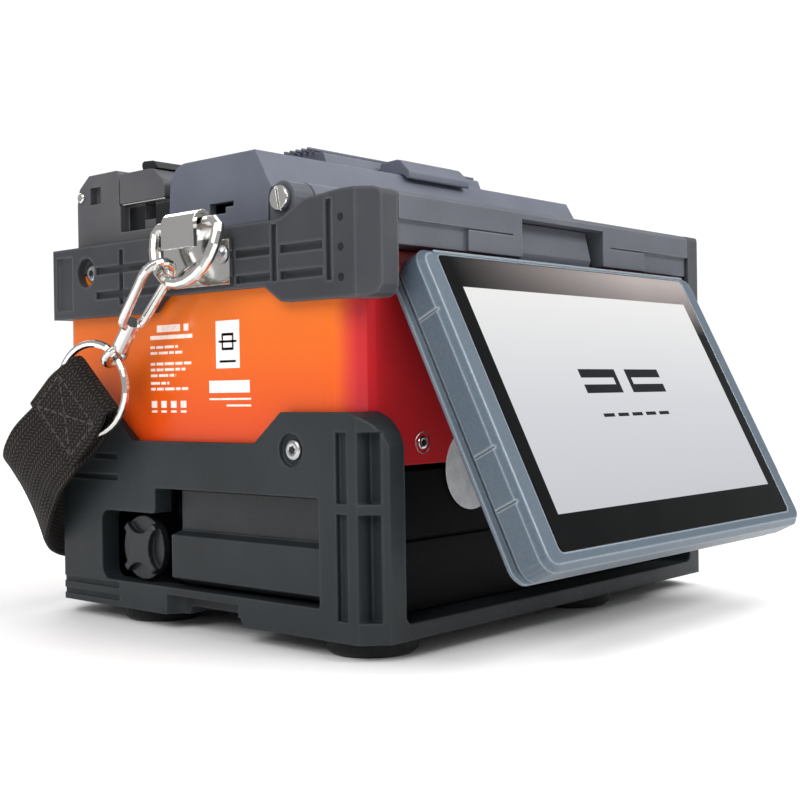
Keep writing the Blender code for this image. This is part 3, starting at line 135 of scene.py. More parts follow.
def ramp(tree, factor, stops):
    """A colour ramp with (position, hex colour) stops."""
    made = add(tree, "ValToRGB", {"Fac": factor})
    steps = made.color_ramp.elements
    while len(steps) < len(stops):
        steps.new(0.5)
    for step, (position, colour) in zip(steps, stops):
        step.position = position
        step.color = linear(colour)
    return made.outputs["Color"]


print("the shell's orange in linear light:", [round(c, 3) for c in linear("#DE6214")])

# %% [markdown]
# Most of the machine is moulded ABS with a spark-eroded texture: the steel mould is
# etched so that the plastic comes out with a fine dull grain. Its edges are painted a
# little paler: a painted highlight, with some wear from fingers and cases. A noise makes
# the grain, and the Bevel node rounds the normals at every edge and also finds the edges
# for the painted highlight and wear. Real grain is about 0.15 mm, which a picture this
# size can't show, so it is drawn at about 0.4 mm.

# %% Moulded plastic
def edge_of(tree, radius):
    """Rounded normals, and a 0 to 1 value that is high along the edges."""
    soft = add(tree, "Bevel", {"Radius": radius}, samples=4).outputs["Normal"]
    true = add(tree, "NewGeometry").outputs["Normal"]
    agree = add(tree, "VectorMath", {0: soft, 1: true}, operation="DOT_PRODUCT").outputs["Value"]
    # this edge value feeds the painted edge highlight of the materials below, along with their wear and
    # dust
    edge_highlight_and_wear = add(tree, "MapRange", {"Value": agree, "From Min": 0.995, "From Max": 0.80})
    return soft, edge_highlight_and_wear.outputs["Result"]


def moulded(name, dark, pale, edge_highlight_and_wear, roughness, edge_mm=0.7, grain_mm=0.4, depth=0.12,
            specular=0.3):
    made, tree, shader, place = start(name, roughness, IOR=1.54, Specular_IOR_Level=specular)
    soft, edge = edge_of(tree, edge_mm / 1000)
    cloud = add(tree, "TexNoise", {"Vector": place, "Scale": 38.0, "Detail": 3.0}).outputs["Fac"]
    grain = add(tree, "TexNoise", {"Vector": place, "Scale": 1000 / grain_mm / 2.5,
                                   "Detail": 2.0}).outputs["Fac"]
    body = ramp(tree, cloud, [(0.35, dark), (0.65, pale)])
    # painted highlight with some wear: the edges are mixed towards the pale third colour
    highlight_and_wear_mask = maths(tree, "MULTIPLY", edge, cloud)
    colour = add(tree, "Mix", {"Factor": highlight_and_wear_mask, "A": body, "B": linear(edge_highlight_and_wear)},
                 data_type="RGBA").outputs["Result"]
    tree.links.new(colour, shader.inputs["Base Color"])
    dull = add(tree, "MapRange", {"Value": grain, "To Min": roughness - 0.07,
                                  "To Max": roughness + 0.09}).outputs["Result"]
    tree.links.new(dull, shader.inputs["Roughness"])
    bump = add(tree, "Bump", {"Strength": depth, "Distance": 0.0004, "Height": grain,
                              "Normal": soft}).outputs["Normal"]
    tree.links.new(bump, shader.inputs["Normal"])
    return made


# the base is darkest and dullest, and the covers are paler; each third colour is a painted edge
# highlight with some wear
base_abs = moulded("charcoal_moulded_abs", "#1B2023", "#23292C", "#4E565A", 0.52, 1.0)
deck_abs = moulded("slate_moulded_abs", "#4A4D54", "#53565D", "#868B92", 0.48)
cover_abs = moulded("blue_grey_moulded_abs", "#565A66", "#606470", "#8F95A1", 0.46, 0.9)
heater_abs = moulded("graphite_moulded_abs", "#4B4B4F", "#565659", "#7F8084", 0.52)
# the battery is black plastic, darkened further as painted shade for the display's shadow over it
battery_abs_painted_shade = moulded("black_moulded_abs_painted_shade", "#020203", "#040405", "#141618", 0.55, specular=0.08)
knob_abs = moulded("black_satin_abs", "#111416", "#1A1D20", "#41464A", 0.36, 0.5)
port_abs = moulded("black_socket_nylon", "#0C0D0F", "#151719", "#2C2E32", 0.4, 0.3)
print("moulded plastics:", [m.name for m in bpy.data.materials if "moulded" in m.name])

# %% [markdown]
# The display's frame is painted plastic: a satin blue-grey lacquer with very fine metal
# flakes. The flakes are a Voronoi pattern whose cells each get their own brightness, and
# a clear coat on top keeps the highlights clean.

# %% Lacquered bezel
def flaked(name, dark, pale, edge_highlight_and_wear):
    made, tree, shader, place = start(name, 0.40, 0.2, Coat_Weight=0.15, Coat_Roughness=0.2)
    soft, edge = edge_of(tree, 0.0009)
    # real flakes are 0.05 mm: these are drawn at 0.5 mm
    flake = add(tree, "TexVoronoi", {"Vector": place, "Scale": 2000.0}).outputs["Color"]
    value = add(tree, "SeparateColor", {"Color": flake}).outputs["Red"]
    body = ramp(tree, value, [(0.0, dark), (1.0, pale)])
    # painted highlight with some wear: the lacquer's edges are mixed towards the pale third colour
    colour = add(tree, "Mix", {"Factor": edge, "A": body, "B": linear(edge_highlight_and_wear)},
                 data_type="RGBA").outputs["Result"]
    tree.links.new(colour, shader.inputs["Base Color"])
    tree.links.new(soft, shader.inputs["Normal"])
    return made


bezel_lacquer = flaked("slate_flake_lacquer", "#465460", "#4E5B67", "#B4BFC8")
print("the display's frame is", bezel_lacquer.name)

# %% [markdown]
# The shell is glossy orange lacquer. The sides are bright orange, and the front, behind
# the display, is painted deep red: painted shade for the shadow the front lies in. The
# two meet in a short fade just round the front corner, so the colour is mixed by how far
# forward a point is. The same trick, by height, paints shade on the sides: the orange is
# a little redder and deeper towards the base.

# %% Orange lacquer
# painted shade: the front is painted deep red, fading in between these two depths
FRONT_SHADE_FROM, FRONT_SHADE_TO = at(0, -49.0, 0).y, at(0, -54.5, 0).y
orange_lacquer, tree, shader, place = start("orange_lacquer", 0.3, Coat_Weight=0.25, IOR=1.5,
                                            Coat_Roughness=0.1, Specular_IOR_Level=0.3)
soft, _ = edge_of(tree, 0.0006)
spot = add(tree, "SeparateXYZ", {"Vector": place})
# painted shade on the front: 0 on the orange sides, 1 on the deep red front
front = add(tree, "MapRange", {"Value": spot.outputs["Y"], "From Min": FRONT_SHADE_FROM, "From Max": FRONT_SHADE_TO},
            interpolation_type="SMOOTHSTEP").outputs["Result"]
# painted shade by height: the orange is redder and deeper towards the base
height_for_painted_shade = add(tree, "MapRange",
           {"Value": spot.outputs["Z"], "From Min": 0.048, "From Max": 0.098}).outputs["Result"]
side_orange_with_painted_shade = ramp(tree, height_for_painted_shade, [(0.0, "#DA3C0C"), (0.5, "#DE6214"), (1.0, "#DE7220")])
colour = add(tree, "Mix", {"Factor": front, "A": side_orange_with_painted_shade, "B": linear("#C0242A")},
             data_type="RGBA").outputs["Result"]
tree.links.new(colour, shader.inputs["Base Color"])
# orange peel: sprayed lacquer dries with ripples about 2 mm across
ripple = add(tree, "TexNoise", {"Vector": place, "Scale": 500.0, "Detail": 1.0}).outputs["Fac"]
bump = add(tree, "Bump", {"Strength": 0.05, "Distance": 0.0004, "Height": ripple, "Normal": soft})
tree.links.new(bump.outputs["Normal"], shader.inputs["Normal"])
print("orange turns to red over", round((FRONT_SHADE_FROM - FRONT_SHADE_TO) * 1000, 1), "mm")

# %% [markdown]
# The bumpers and feet are moulded rubber. Rubber is duller than plastic, its corners
# are rounder, and it picks up pale dust. Its edges are painted paler, for that dust and
# as a painted highlight. Sheen gives the soft bloom on its turned edges.

# %% Rubber
def rubber(name, dark, pale, dusty_highlight, roughness, edge_mm):
    made, tree, shader, place = start(name, roughness, IOR=1.52, Sheen_Weight=0.08,
                                      Sheen_Roughness=0.4, Specular_IOR_Level=0.25)
    soft, edge = edge_of(tree, edge_mm / 1000)
    cloud = add(tree, "TexNoise", {"Vector": place, "Scale": 60.0, "Detail": 5.0}).outputs["Fac"]
    grain = add(tree, "TexNoise", {"Vector": place, "Scale": 1500.0, "Detail": 2.0}).outputs["Fac"]
    body = ramp(tree, cloud, [(0.3, dark), (0.7, pale)])
    # dust and painted highlight: the edges are mixed towards the pale dusty colour
    dust_and_highlight = maths(tree, "MULTIPLY", edge, 0.55)
    colour = add(tree, "Mix", {"Factor": dust_and_highlight, "A": body, "B": linear(dusty_highlight)},
                 data_type="RGBA").outputs["Result"]
    tree.links.new(colour, shader.inputs["Base Color"])
    bump = add(tree, "Bump", {"Strength": 0.15, "Distance": 0.0003, "Height": grain, "Normal": soft})
    tree.links.new(bump.outputs["Normal"], shader.inputs["Normal"])
    return made


# bumpers look soft because their edges are broad, dusty and painted with a highlight, and feet look
# denser
bumper_rubber = rubber("grey_moulded_rubber", "#303136", "#393B3F", "#6E7075", 0.58, 1.3)
foot_rubber = rubber("black_moulded_rubber", "#111213", "#1A1B1C", "#343638", 0.7, 0.8)
print("rubbers:", bumper_rubber.name, "and", foot_rubber.name)

# %% [markdown]
# The fittings are nickel-plated steel wire and pressed sheet, bright as a mirror with
# faint smears, and the screws are plain turned steel. A metal's look is nearly all in
# its roughness, so a noise varies that and the colour stays even.

# %% Metals
def metal(name, colour, low, high, grain_mm, stretch=(1, 1, 1)):
    made, tree, shader, place = start(name, low, 1.0)
    shader.inputs["Base Color"].default_value = linear(colour)
    drawn = add(tree, "Mapping", {"Vector": place, "Scale": stretch}).outputs["Vector"]
    marks = add(tree, "TexNoise", {"Vector": drawn, "Scale": 1000 / grain_mm,
                                   "Detail": 3.0}).outputs["Fac"]
    spread = add(tree, "MapRange", {"Value": marks, "To Min": low, "To Max": high})
    tree.links.new(spread.outputs["Result"], shader.inputs["Roughness"])
    soft, _ = edge_of(tree, 0.0003)
    bump = add(tree, "Bump", {"Strength": 0.05, "Distance": 0.0002, "Height": marks, "Normal": soft})
    tree.links.new(bump.outputs["Normal"], shader.inputs["Normal"])
    return made


# nickel mirrors the room, turned steel blurs it, and milled aluminium draws it into streaks
nickel = metal("bright_nickel_plate", "#DAD9D6", 0.06, 0.20, 3.0)
steel = metal("turned_steel", "#B4B5B8", 0.22, 0.40, 0.6)
aluminium = metal("milled_aluminium", "#C4C6C9", 0.28, 0.45, 0.8, (1, 8, 1))
print("metals:", nickel.name, steel.name, aluminium.name)

# %% [markdown]
# The display is one sheet of black-backed glass over a liquid-crystal panel. The lit
# picture is a pale grey ground with a simple drawing of two fibre ends about to meet.
# The glass is one flat mesh, so the picture is drawn by its shader: a Mapping node
# turns the sheet's tilted coordinates upright and moves zero to the hinge, and masks
# made with Math nodes mark out the lit panel and the bars. The pale corner of the black
# border is painted as well. That is a shortcut: a real reflection comes from the lights
# and moves with the view, and this one stays where it is.

# %% Display glass with a lit picture
HINGE_MM = (0, -57.3, 94.3)
TILT = math.radians(26.5)
PANEL_MM = (54.2, -11.0, -71.3)     # half width, top and bottom, below the hinge line

display_glass, tree, shader, place = start("display_glass", 0.06, IOR=1.5, Specular_IOR_Level=0.09)
moved = add(tree, "VectorMath", {0: place, 1: at(*HINGE_MM)}, operation="SUBTRACT").outputs["Vector"]
local = add(tree, "Mapping", {"Vector": moved, "Rotation": (TILT, 0, 0)}).outputs["Vector"]
split = add(tree, "SeparateXYZ", {"Vector": local})
across, down = split.outputs["X"], split.outputs["Z"]


def window(left, right_edge, top, bottom):
    """1 inside a rectangle given in millimetres on the display, 0 outside."""
    mask = None
    for value, limit, operation in ((across, left, "GREATER_THAN"), (across, right_edge, "LESS_THAN"),
                                    (down, top, "LESS_THAN"), (down, bottom, "GREATER_THAN")):
        side = maths(tree, operation, value, limit / 1000)
        mask = side if mask is None else maths(tree, "MULTIPLY", mask, side)
    return mask


def either(*masks):
    total = masks[0]
    for mask in masks[1:]:
        total = maths(tree, "MAXIMUM", total, mask)
    return total


lit = window(-PANEL_MM[0], PANEL_MM[0], PANEL_MM[1], PANEL_MM[2])
fibre_ends = either(window(-20, -2.5, -33.5, -36.0), window(2.5, 20, -33.5, -36.0),
                    window(-20, -2.5, -38.0, -40.5), window(2.5, 20, -38.0, -40.5),
                    window(-4.5, -2.5, -33.5, -40.5), window(2.5, 4.5, -33.5, -40.5))
rows = either(*[window(-17 + 7 * k, -17 + 7 * k + 5.2, -46.4, -47.4) for k in range(5)])
# the lit ground is greyer towards the panel's bottom and palest at its top
fall = add(tree, "MapRange", {"Value": down, "From Min": PANEL_MM[2] / 1000,
                              "From Max": PANEL_MM[1] / 1000}).outputs["Result"]
ground = ramp(tree, fall, [(0.0, "#CDCFD5"), (0.45, "#DBDCE1"), (1.0, "#F4F4F3")])
marked = add(tree, "Mix", {"Factor": either(fibre_ends, rows), "A": ground, "B": linear("#1B1D22")},
             data_type="RGBA").outputs["Result"]
smear = add(tree, "TexNoise", {"Vector": place, "Scale": 90.0}).outputs["Fac"]
black = ramp(tree, smear, [(0.3, "#050607"), (0.7, "#090A0B")])
# a painted stand-in for a lamp's soft reflection at the display's top right corner
upwards = add(tree, "MapRange",
              {"Value": down, "From Min": -0.022, "From Max": -0.004}).outputs["Result"]
rightwards = add(tree, "MapRange",
                 {"Value": across, "From Min": -0.055, "From Max": 0.03}).outputs["Result"]
bloom = maths(tree, "MULTIPLY", upwards, rightwards)
bloom = add(tree, "Math", {0: bloom, 1: lit}, operation="SUBTRACT", use_clamp=True).outputs["Value"]
border = add(tree, "Mix", {"Factor": bloom, "A": black, "B": linear("#8F8785")}, data_type="RGBA")
tree.links.new(border.outputs["Result"], shader.inputs["Base Color"])
glow = add(tree, "Mix", {"Factor": lit, "A": (0, 0, 0, 1), "B": marked}, data_type="RGBA")
tree.links.new(glow.outputs["Result"], shader.inputs["Emission Color"])
shader.inputs["Emission Strength"].default_value = 0.93
polish = add(tree, "MapRange", {"Value": smear, "To Min": 0.04, "To Max": 0.09}).outputs["Result"]
tree.links.new(polish, shader.inputs["Roughness"])
print("the lit panel is", 2 * PANEL_MM[0], "by", round(PANEL_MM[1] - PANEL_MM[2], 1), "mm")

# %% [markdown]
# A few finishes belong to small pieces: a circuit board with copper tracks under green
# lacquer, fired ceramic V-groove blocks, silvered keys, and thin films.

# %% Small finishes
board, tree, shader, place = start("green_circuit_board", 0.35, Coat_Weight=0.4)
tracks = add(tree, "TexBrick", {"Vector": place, "Scale": 120.0, "Color1": linear("#1C5636"),
                                "Color2": linear("#174A2F"), "Mortar": linear("#3F8A5A"),
                                "Mortar Size": 0.03}).outputs["Color"]
tree.links.new(tracks, shader.inputs["Base Color"])
ceramic = moulded("fired_zirconia", "#DDD8CC", "#ECE8DF", "#F6F4EE", 0.32, 0.2, 0.3, 0.04)
key_paint = moulded("silvered_key_plastic", "#8F949B", "#A5AAB1", "#C9CCD1", 0.33, 0.4)


def speckled(name, roughness, scale, detail, stops, metallic=0.0, **sockets):
    """A thin film whose colour varies a little, so that it doesn't look like a cut-out."""
    made, tree, shader, place = start(name, roughness, metallic, **sockets)
    fade = add(tree, "TexNoise", {"Vector": place, "Scale": scale, "Detail": detail}).outputs["Fac"]
    tree.links.new(ramp(tree, fade, stops), shader.inputs["Base Color"])
    return made


# ink lets a little orange through, label film is even and glossy, foil is pale and soft
white_print = speckled("white_screen_print", 0.5, 700.0, 4.0, [(0.3, "#F3CDB8"), (0.5, "#F8E8E0")])
label_film = speckled("white_label_film", 0.35, 260.0, 3.0, [(0.3, "#E9E6E4"), (0.7, "#F7F5F3")],
                      Coat_Weight=0.3)
silver_foil = speckled("silver_seal_foil", 0.4, 400.0, 3.0, [(0.3, "#D6D8DB"), (0.7, "#E9EAEC")], 0.15)
print("finishes so far:", len(bpy.data.materials))

# %% [markdown]
# Every node of the frame now gets its finish. A table from finish to node names keeps
# that in one place, and names that share a beginning are found by it.

# %% Finish the frame's own nodes
finishes = {
    base_abs: ["base_tray", "side_panel_"],
    battery_abs_painted_shade: ["battery_pack", "arc_transformer"],
    knob_abs: ["battery_knob", "heater_lid_tab"],
    orange_lacquer: ["main_shell"],
    bumper_rubber: ["side_bumper_"],
    foot_rubber: ["foot_"],
    deck_abs: ["deck_housing", "screen_hinge_arm", "fibre_clamp_"],
    cover_abs: ["wind_cover", "cover_top_plate", "cover_grip"],
    heater_abs: ["heater_base", "heater_lid"],
    bezel_lacquer: ["screen_bezel", "screen_rear_cover"],
    display_glass: ["screen_glass"],
    port_abs: ["dc_socket", "fan_", "microscope"],
    nickel: ["d_ring_", "strap_bracket_", "snap_hook_", "split_ring_", "hinge_screw_"],
    steel: ["bracket_screw_", "screen_hinge_pin", "electrode_", "usb_port", "feed_motor_"],
    aluminium: ["splice_stage", "heater_oven"],
    ceramic: ["v_groove_"],
    board: ["main_board"],
    key_paint: ["key_"],
    label_film: ["screen_panel"],
}
for finish, beginnings in finishes.items():
    for name, node in nodes.items():
        exact = name in beginnings
        if exact or any(b.endswith("_") and name.startswith(b) for b in beginnings):
            node.data.materials.clear()
            node.data.materials.append(finish)
bare = [n for n, o in nodes.items() if not o.data.materials or o.data.materials[0].name not in
        [m.name for m in finishes]]
print("nodes still waiting for a finish:", bare)

# %% [markdown]
# New pieces are built from three simple shells: a flat outline pushed to a thickness,
# a profile turned on an axis, and a section carried along a path. Each returns its
# points and faces, and one function gathers shells into an object, rounds its edges
# and lets it ride on a moving body of the frame.

# %% Shells and pieces
def slab(outline, origin, u, v, thick):
    """An outline of (u, v) millimetres on a plane, made `thick` millimetres towards u x v."""
    u, v = Vector(u), Vector(v)
    lift = u.cross(v).normalized() * thick / 1000
    low = [origin + (u * a + v * b) / 1000 for a, b in outline]
    count = len(low)
    faces = [list(range(count))[::-1], list(range(count, 2 * count))]
    faces += [(i, (i + 1) % count, (i + 1) % count + count, i + count) for i in range(count)]
    return low + [p + lift for p in low], faces


def turned(profile, origin, axis, sides=28):
    """A (radius, height) profile in millimetres, closed at both ends on the axis."""
    axis = Vector(axis).normalized()
    one = axis.orthogonal().normalized()
    two = axis.cross(one)
    points, rings = [], []
    for radius, height in profile:
        turns = range(sides if radius else 1)
        rings.append([len(points) + k for k in turns])
        points += [origin + (axis * height + (one * math.cos(2 * math.pi * k / sides)
                   + two * math.sin(2 * math.pi * k / sides)) * radius) / 1000 for k in turns]
    faces = []
    for low, high in zip(rings, rings[1:]):
        for k in range(sides):
            quad = [low[k % len(low)], low[(k + 1) % len(low)], high[(k + 1) % len(high)],
                    high[k % len(high)]]
            faces.append(list(dict.fromkeys(quad)))
    return points, [f for f in faces if len(f) > 2]


def box_outline(half_u, half_v, radius=0.0, steps=3, centre=(0, 0)):
    """A rectangle with rounded corners, in millimetres."""
    out = []
    for su, sv, first in ((1, -1, -90), (1, 1, 0), (-1, 1, 90), (-1, -1, 180)):
        for k in range(steps + 1 if radius else 1):
            a = math.radians(first + 90 * k / steps)
            out.append((centre[0] + su * (half_u - radius) + radius * math.cos(a) * bool(radius),
                        centre[1] + sv * (half_v - radius) + radius * math.sin(a) * bool(radius)))
    return out


def piece(name, shells, finish, body, round_mm=0.0):
    """Gathers shells into one object that rides on a body."""
    points, faces = [], []
    for shell_points, shell_faces in shells:
        first = len(points)
        points += [tuple(p) for p in shell_points]
        faces += [[first + i for i in face] for face in shell_faces]
    mesh = bpy.data.meshes.new(name)
    mesh.from_pydata(points, [], faces)
    bm = bmesh.new()
    bm.from_mesh(mesh)
    bmesh.ops.recalc_face_normals(bm, faces=bm.faces)
    bm.to_mesh(mesh)
    bm.free()
    mesh.shade_smooth()
    mesh.set_sharp_from_angle(angle=math.radians(40))
    mesh.materials.append(finish)
    obj = bpy.data.objects.new(name, mesh)
    bpy.context.collection.objects.link(obj)
    if round_mm:
        ease = obj.modifiers.new("round", "BEVEL")
        ease.width = round_mm / 1000
        ease.segments = 2
        ease.limit_method = "ANGLE"
    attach(obj, body)
    return obj


print("a rounded box outline has", len(box_outline(5, 5, 1)), "points")

# %% [markdown]
# The carrying strap is 25 mm polyester webbing, 1.6 mm thick. Each end goes through a
# split ring, narrows a little in it, and is sewn back on itself. Webbing bends only one
# way easily, so its line needs two things at each point: where it is, and which way its
# width lies. A smooth curve is drawn through both, and the length of that line is the
# length of the strap.

# %% The strap's line
STRAP_W, STRAP_T = 25.0, 1.6
RING_R, RING_WIRE_R = 12.5, 1.1
ring_middle = at(88, 33, 66)
ring_run = Vector((0.124, 0.719, -0.683)).normalized()
ring_across = Vector((-0.124, -0.722, -0.681))
ring_across = (ring_across - ring_run * ring_across.dot(ring_run)).normalized()
half_line = [(ring_middle + ring_run * d / 1000, ring_across) for d in (0, 10, 20)] + [
    (at(91.2, 57.2, 44.5), Vector((-0.220, -0.540, -0.810))),
    (at(88.8, 64.0, 37.0), Vector((-0.300, -0.360, -0.880))),
    (at(81.5, 72.0, 31.0), Vector((-0.250, -0.250, -0.930))),
    (at(69.0, 79.5, 26.5), Vector((-0.150, -0.180, -0.970))),
    (at(48.0, 85.0, 23.0), Vector((-0.060, -0.140, -0.990))),
    (at(24.0, 87.0, 21.0), Vector((-0.020, -0.120, -0.990))),
    (at(0.0, 87.5, 20.5), Vector((0.000, -0.120, -0.990)))]
STEPS = 12


def curve_through(points, steps):
    """A Catmull-Rom curve through the points."""
    out = []
    for i in range(len(points) - 1):
        p1, p2 = points[i], points[i + 1]
        p0 = points[i - 1] if i else p1 * 2 - p2
        p3 = points[i + 2] if i + 2 < len(points) else p2 * 2 - p1
        for k in range(steps):
            t = k / steps
            out.append(0.5 * (2 * p1 + (p2 - p0) * t + (2 * p0 - 5 * p1 + 4 * p2 - p3) * t * t
                              + (3 * p1 - p0 - 3 * p2 + p3) * t ** 3))
    return out + [points[-1]]


def flip(v):
    return Vector((-v.x, v.y, v.z))


whole = half_line + [(flip(p), flip(w)) for p, w in half_line[-2::-1]]
line = curve_through([p for p, _ in whole], STEPS)
lies = curve_through([w for _, w in whole], STEPS)

# %% [markdown]
# A fold is the part of the line that goes round the ring's wire: along the outside, a
# half circle round the wire, and back along the inside. The webbing's section is a flat
# oval whose edges are thinner, and it is narrowed where it squeezes into the ring. Its
# map is in real millimetres, across and along, so the weave keeps its size round bends.

# %% Webbing
def fold(end, run, lie, sign):
    room = (RING_WIRE_R + 0.3 + STRAP_T / 2) / 1000
    out = run.cross(lie).normalized() * sign
    narrow = (RING_R - RING_WIRE_R - 0.9) * 2 / STRAP_W
    reach = [18.5, 16, 13, 10.5, 8.5, 6, 4, 2, 0.5]
    wide = [1, 1, 1, 1, 1, 0.97, 0.93, 0.90, narrow]
    points = [end + run * d / 1000 - out * room for d in reach]
    turns = [math.radians(15 * k) for k in range(1, 12)]
    points += [end - (run * math.sin(a) + out * math.cos(a)) * room for a in turns]
    points += [end + run * d / 1000 + out * room for d in reach[:1:-1]]
    points += [end + run * 0.0146 + out * room * 0.93, end + run * 0.0168 + out * room * 0.6]
    widths = wide + [narrow] * len(turns) + wide[:1:-1] + [1, 1]
    return points, widths


inner_end = 2 * STEPS
head, head_w = fold(line[0], (line[3] - line[0]).normalized(), lies[0], 1)
tail, tail_w = fold(line[-1], (line[-4] - line[-1]).normalized(), lies[-1], -1)
middle = line[inner_end:-inner_end]
route = head + middle + tail[::-1]
lie_all = [lies[0]] * len(head) + lies[inner_end:-inner_end] + [lies[-1]] * len(tail)
width_all = head_w + [1] * len(middle) + tail_w[::-1]
half_w, half_t = STRAP_W / 2, STRAP_T / 2
section = [(-half_w, 0), (-half_w + 0.5, -half_t * 0.8)]
section += [(-half_w + 1.6 + (STRAP_W - 3.2) * k / 6, -half_t) for k in range(7)]
section += [(half_w - 0.5, -half_t * 0.8), (half_w, 0)]
section += [(u, -v) for u, v in section[-2:0:-1]]

points, faces, maps, along = [], [], [], 0.0
for i, (here, lie, width) in enumerate(zip(route, lie_all, width_all)):
    ahead = route[min(i + 1, len(route) - 1)] - route[max(i - 1, 0)]
    way = ahead.normalized()
    side = (lie - way * lie.dot(way)).normalized()
    face_out = way.cross(side)
    along += (here - route[i - 1]).length * 1000 if i else 0.0
    for u, v in section:
        points.append(here + (side * u * width + face_out * v) / 1000)
        maps.append((u / 1000, along / 1000))
ring = len(section)
for i in range(len(route) - 1):
    faces += [(i * ring + k, i * ring + (k + 1) % ring, (i + 1) * ring + (k + 1) % ring,
               (i + 1) * ring + k) for k in range(ring)]
faces += [list(range(ring))[::-1], list(range(len(points) - ring, len(points)))]
print("the webbing has", len(points), "points")

# %% [markdown]
# The weave is a herringbone of thick black yarns. Two waves, one leaning each way,
# swap at every column, and a noise roughens them. Yarns are about 0.9 mm apart on such
# webbing: here they are drawn 1.3 mm apart, so that they show. Tiny differences of
# colour between yarns, and a little sheen, make it read as textile and not as rubber.

# %% Woven polyester
woven, tree, shader, place = start("black_woven_polyester", 0.85, Sheen_Weight=0.06,
                                   Sheen_Roughness=0.5,
                                   Specular_IOR_Level=0.15)
cloth = add(tree, "UVMap", uv_map="weave").outputs["UV"]
parts = add(tree, "SeparateXYZ", {"Vector": cloth})
YARN = 0.0013
column = maths(tree, "PINGPONG", parts.outputs["X"], 2 * YARN)
lean = maths(tree, "ADD", column, parts.outputs["Y"])
phase = maths(tree, "MULTIPLY", lean, 2 * math.pi / YARN)
wave = maths(tree, "SINE", phase)
rib_phase = maths(tree, "MULTIPLY", parts.outputs["X"], math.pi / YARN)
rib = maths(tree, "COSINE", rib_phase)
rib_size = maths(tree, "ABSOLUTE", rib)
fuzz = add(tree, "TexNoise", {"Vector": place, "Scale": 2200.0, "Detail": 3.0}).outputs["Fac"]
yarn = maths(tree, "MULTIPLY_ADD", wave, 0.5, 0.5)
high = maths(tree, "MULTIPLY", yarn, rib_size)
rough_high = maths(tree, "MULTIPLY_ADD", fuzz, 0.35, high)
tree.links.new(ramp(tree, rough_high, [(0.15, "#100E0C"), (0.6, "#1F1B19"), (1.0, "#3A332F")]),
               shader.inputs["Base Color"])
bump = add(tree, "Bump", {"Strength": 0.7, "Distance": 0.0004, "Height": rough_high})
tree.links.new(bump.outputs["Normal"], shader.inputs["Normal"])

strap = piece("carrying_strap", [(points, faces)], woven, "strap")
weave_map = strap.data.uv_layers.new(name="weave")
for loop in strap.data.loops:
    weave_map.data[loop.index].uv = maps[loop.vertex_index]
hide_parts("strap")
print("its weave is mapped over", round(along), "mm")

# %% [markdown]
# The doubled end is held by a sewn box: four rows of thread round a rectangle and a
# cross inside. Each stitch is a short rounded bead standing just out of the webbing, so
# thread is built as beads along lines instead of as a painted dash.

# %% Stitches
thread, tree, shader, place = start("bonded_nylon_thread", 0.55, Sheen_Weight=0.2)
twist = add(tree, "TexWave", {"Vector": place, "Scale": 900.0}).outputs["Fac"]
tree.links.new(ramp(tree, twist, [(0.2, "#151312"), (0.8, "#3B3532")]), shader.inputs["Base Color"])


def stitch(a, b, out):
    """One bead of thread from a to b."""
    way = (b - a).normalized()
    side = way.cross(out)
    points, rings = [], []
    for t, size in ((0.0, 0.35), (0.2, 0.9), (0.5, 1.0), (0.8, 0.9), (1.0, 0.35)):
        rings.append(len(points))
        points += [a + (b - a) * t + (side * math.cos(2 * math.pi * k / 6)
                   + out * math.sin(2 * math.pi * k / 6)) * 0.00028 * size for k in range(6)]
    faces = [(r + k, r + (k + 1) % 6, s + (k + 1) % 6, s + k)
             for r, s in zip(rings, rings[1:]) for k in range(6)]
    faces += [list(range(6))[::-1], list(range(rings[-1], rings[-1] + 6))]
    return points, faces


stitches = []
for mirror in (False, True):
    out = ring_run.cross(ring_across).normalized()
    corners = [(4.5, -9.5), (17.0, -9.5), (17.0, 9.5), (4.5, 9.5)]
    rows = list(zip(corners, corners[1:] + corners[:1])) + [(corners[0], corners[2]),
                                                            (corners[1], corners[3])]
    height = (RING_WIRE_R + 0.3 + STRAP_T + 0.02) / 1000
    for (d0, w0), (d1, w1) in rows:
        count = max(int(math.hypot(d1 - d0, w1 - w0) / 2.6), 1)
        for k in range(count):
            ends = []
            for t in ((k + 0.12) / count, (k + 0.88) / count):
                d, w = d0 + (d1 - d0) * t, w0 + (w1 - w0) * t
                ends.append(ring_middle + (ring_run * d + ring_across * w) / 1000 - out * height)
            a, b, o = (*ends, -out)
            stitches.append(stitch(flip(a), flip(b), flip(o)) if mirror else stitch(a, b, o))
piece("strap_stitches", stitches, thread, "strap")
print("sewn with", len(stitches), "stitches")

# %% [markdown]
# Screws hold the mouldings together. A pan-head screw is a turned profile with a low
# dome, and its six-lobed socket is a dark star laid on the head: painted shade for the
# socket's hollow. Seen from a metre away, a raised rim round a dark star reads as the
# socket, so no Boolean cut is needed.

# %% Screws
def star(radius, lobes=6, dip=0.72):
    """A ring of points that are in turn on the radius and dipped towards the middle."""
    out = []
    for k in range(2 * lobes):
        reach, turn = radius * (dip if k % 2 else 1), math.pi * k / lobes
        out.append((reach * math.cos(turn), reach * math.sin(turn)))
    return out


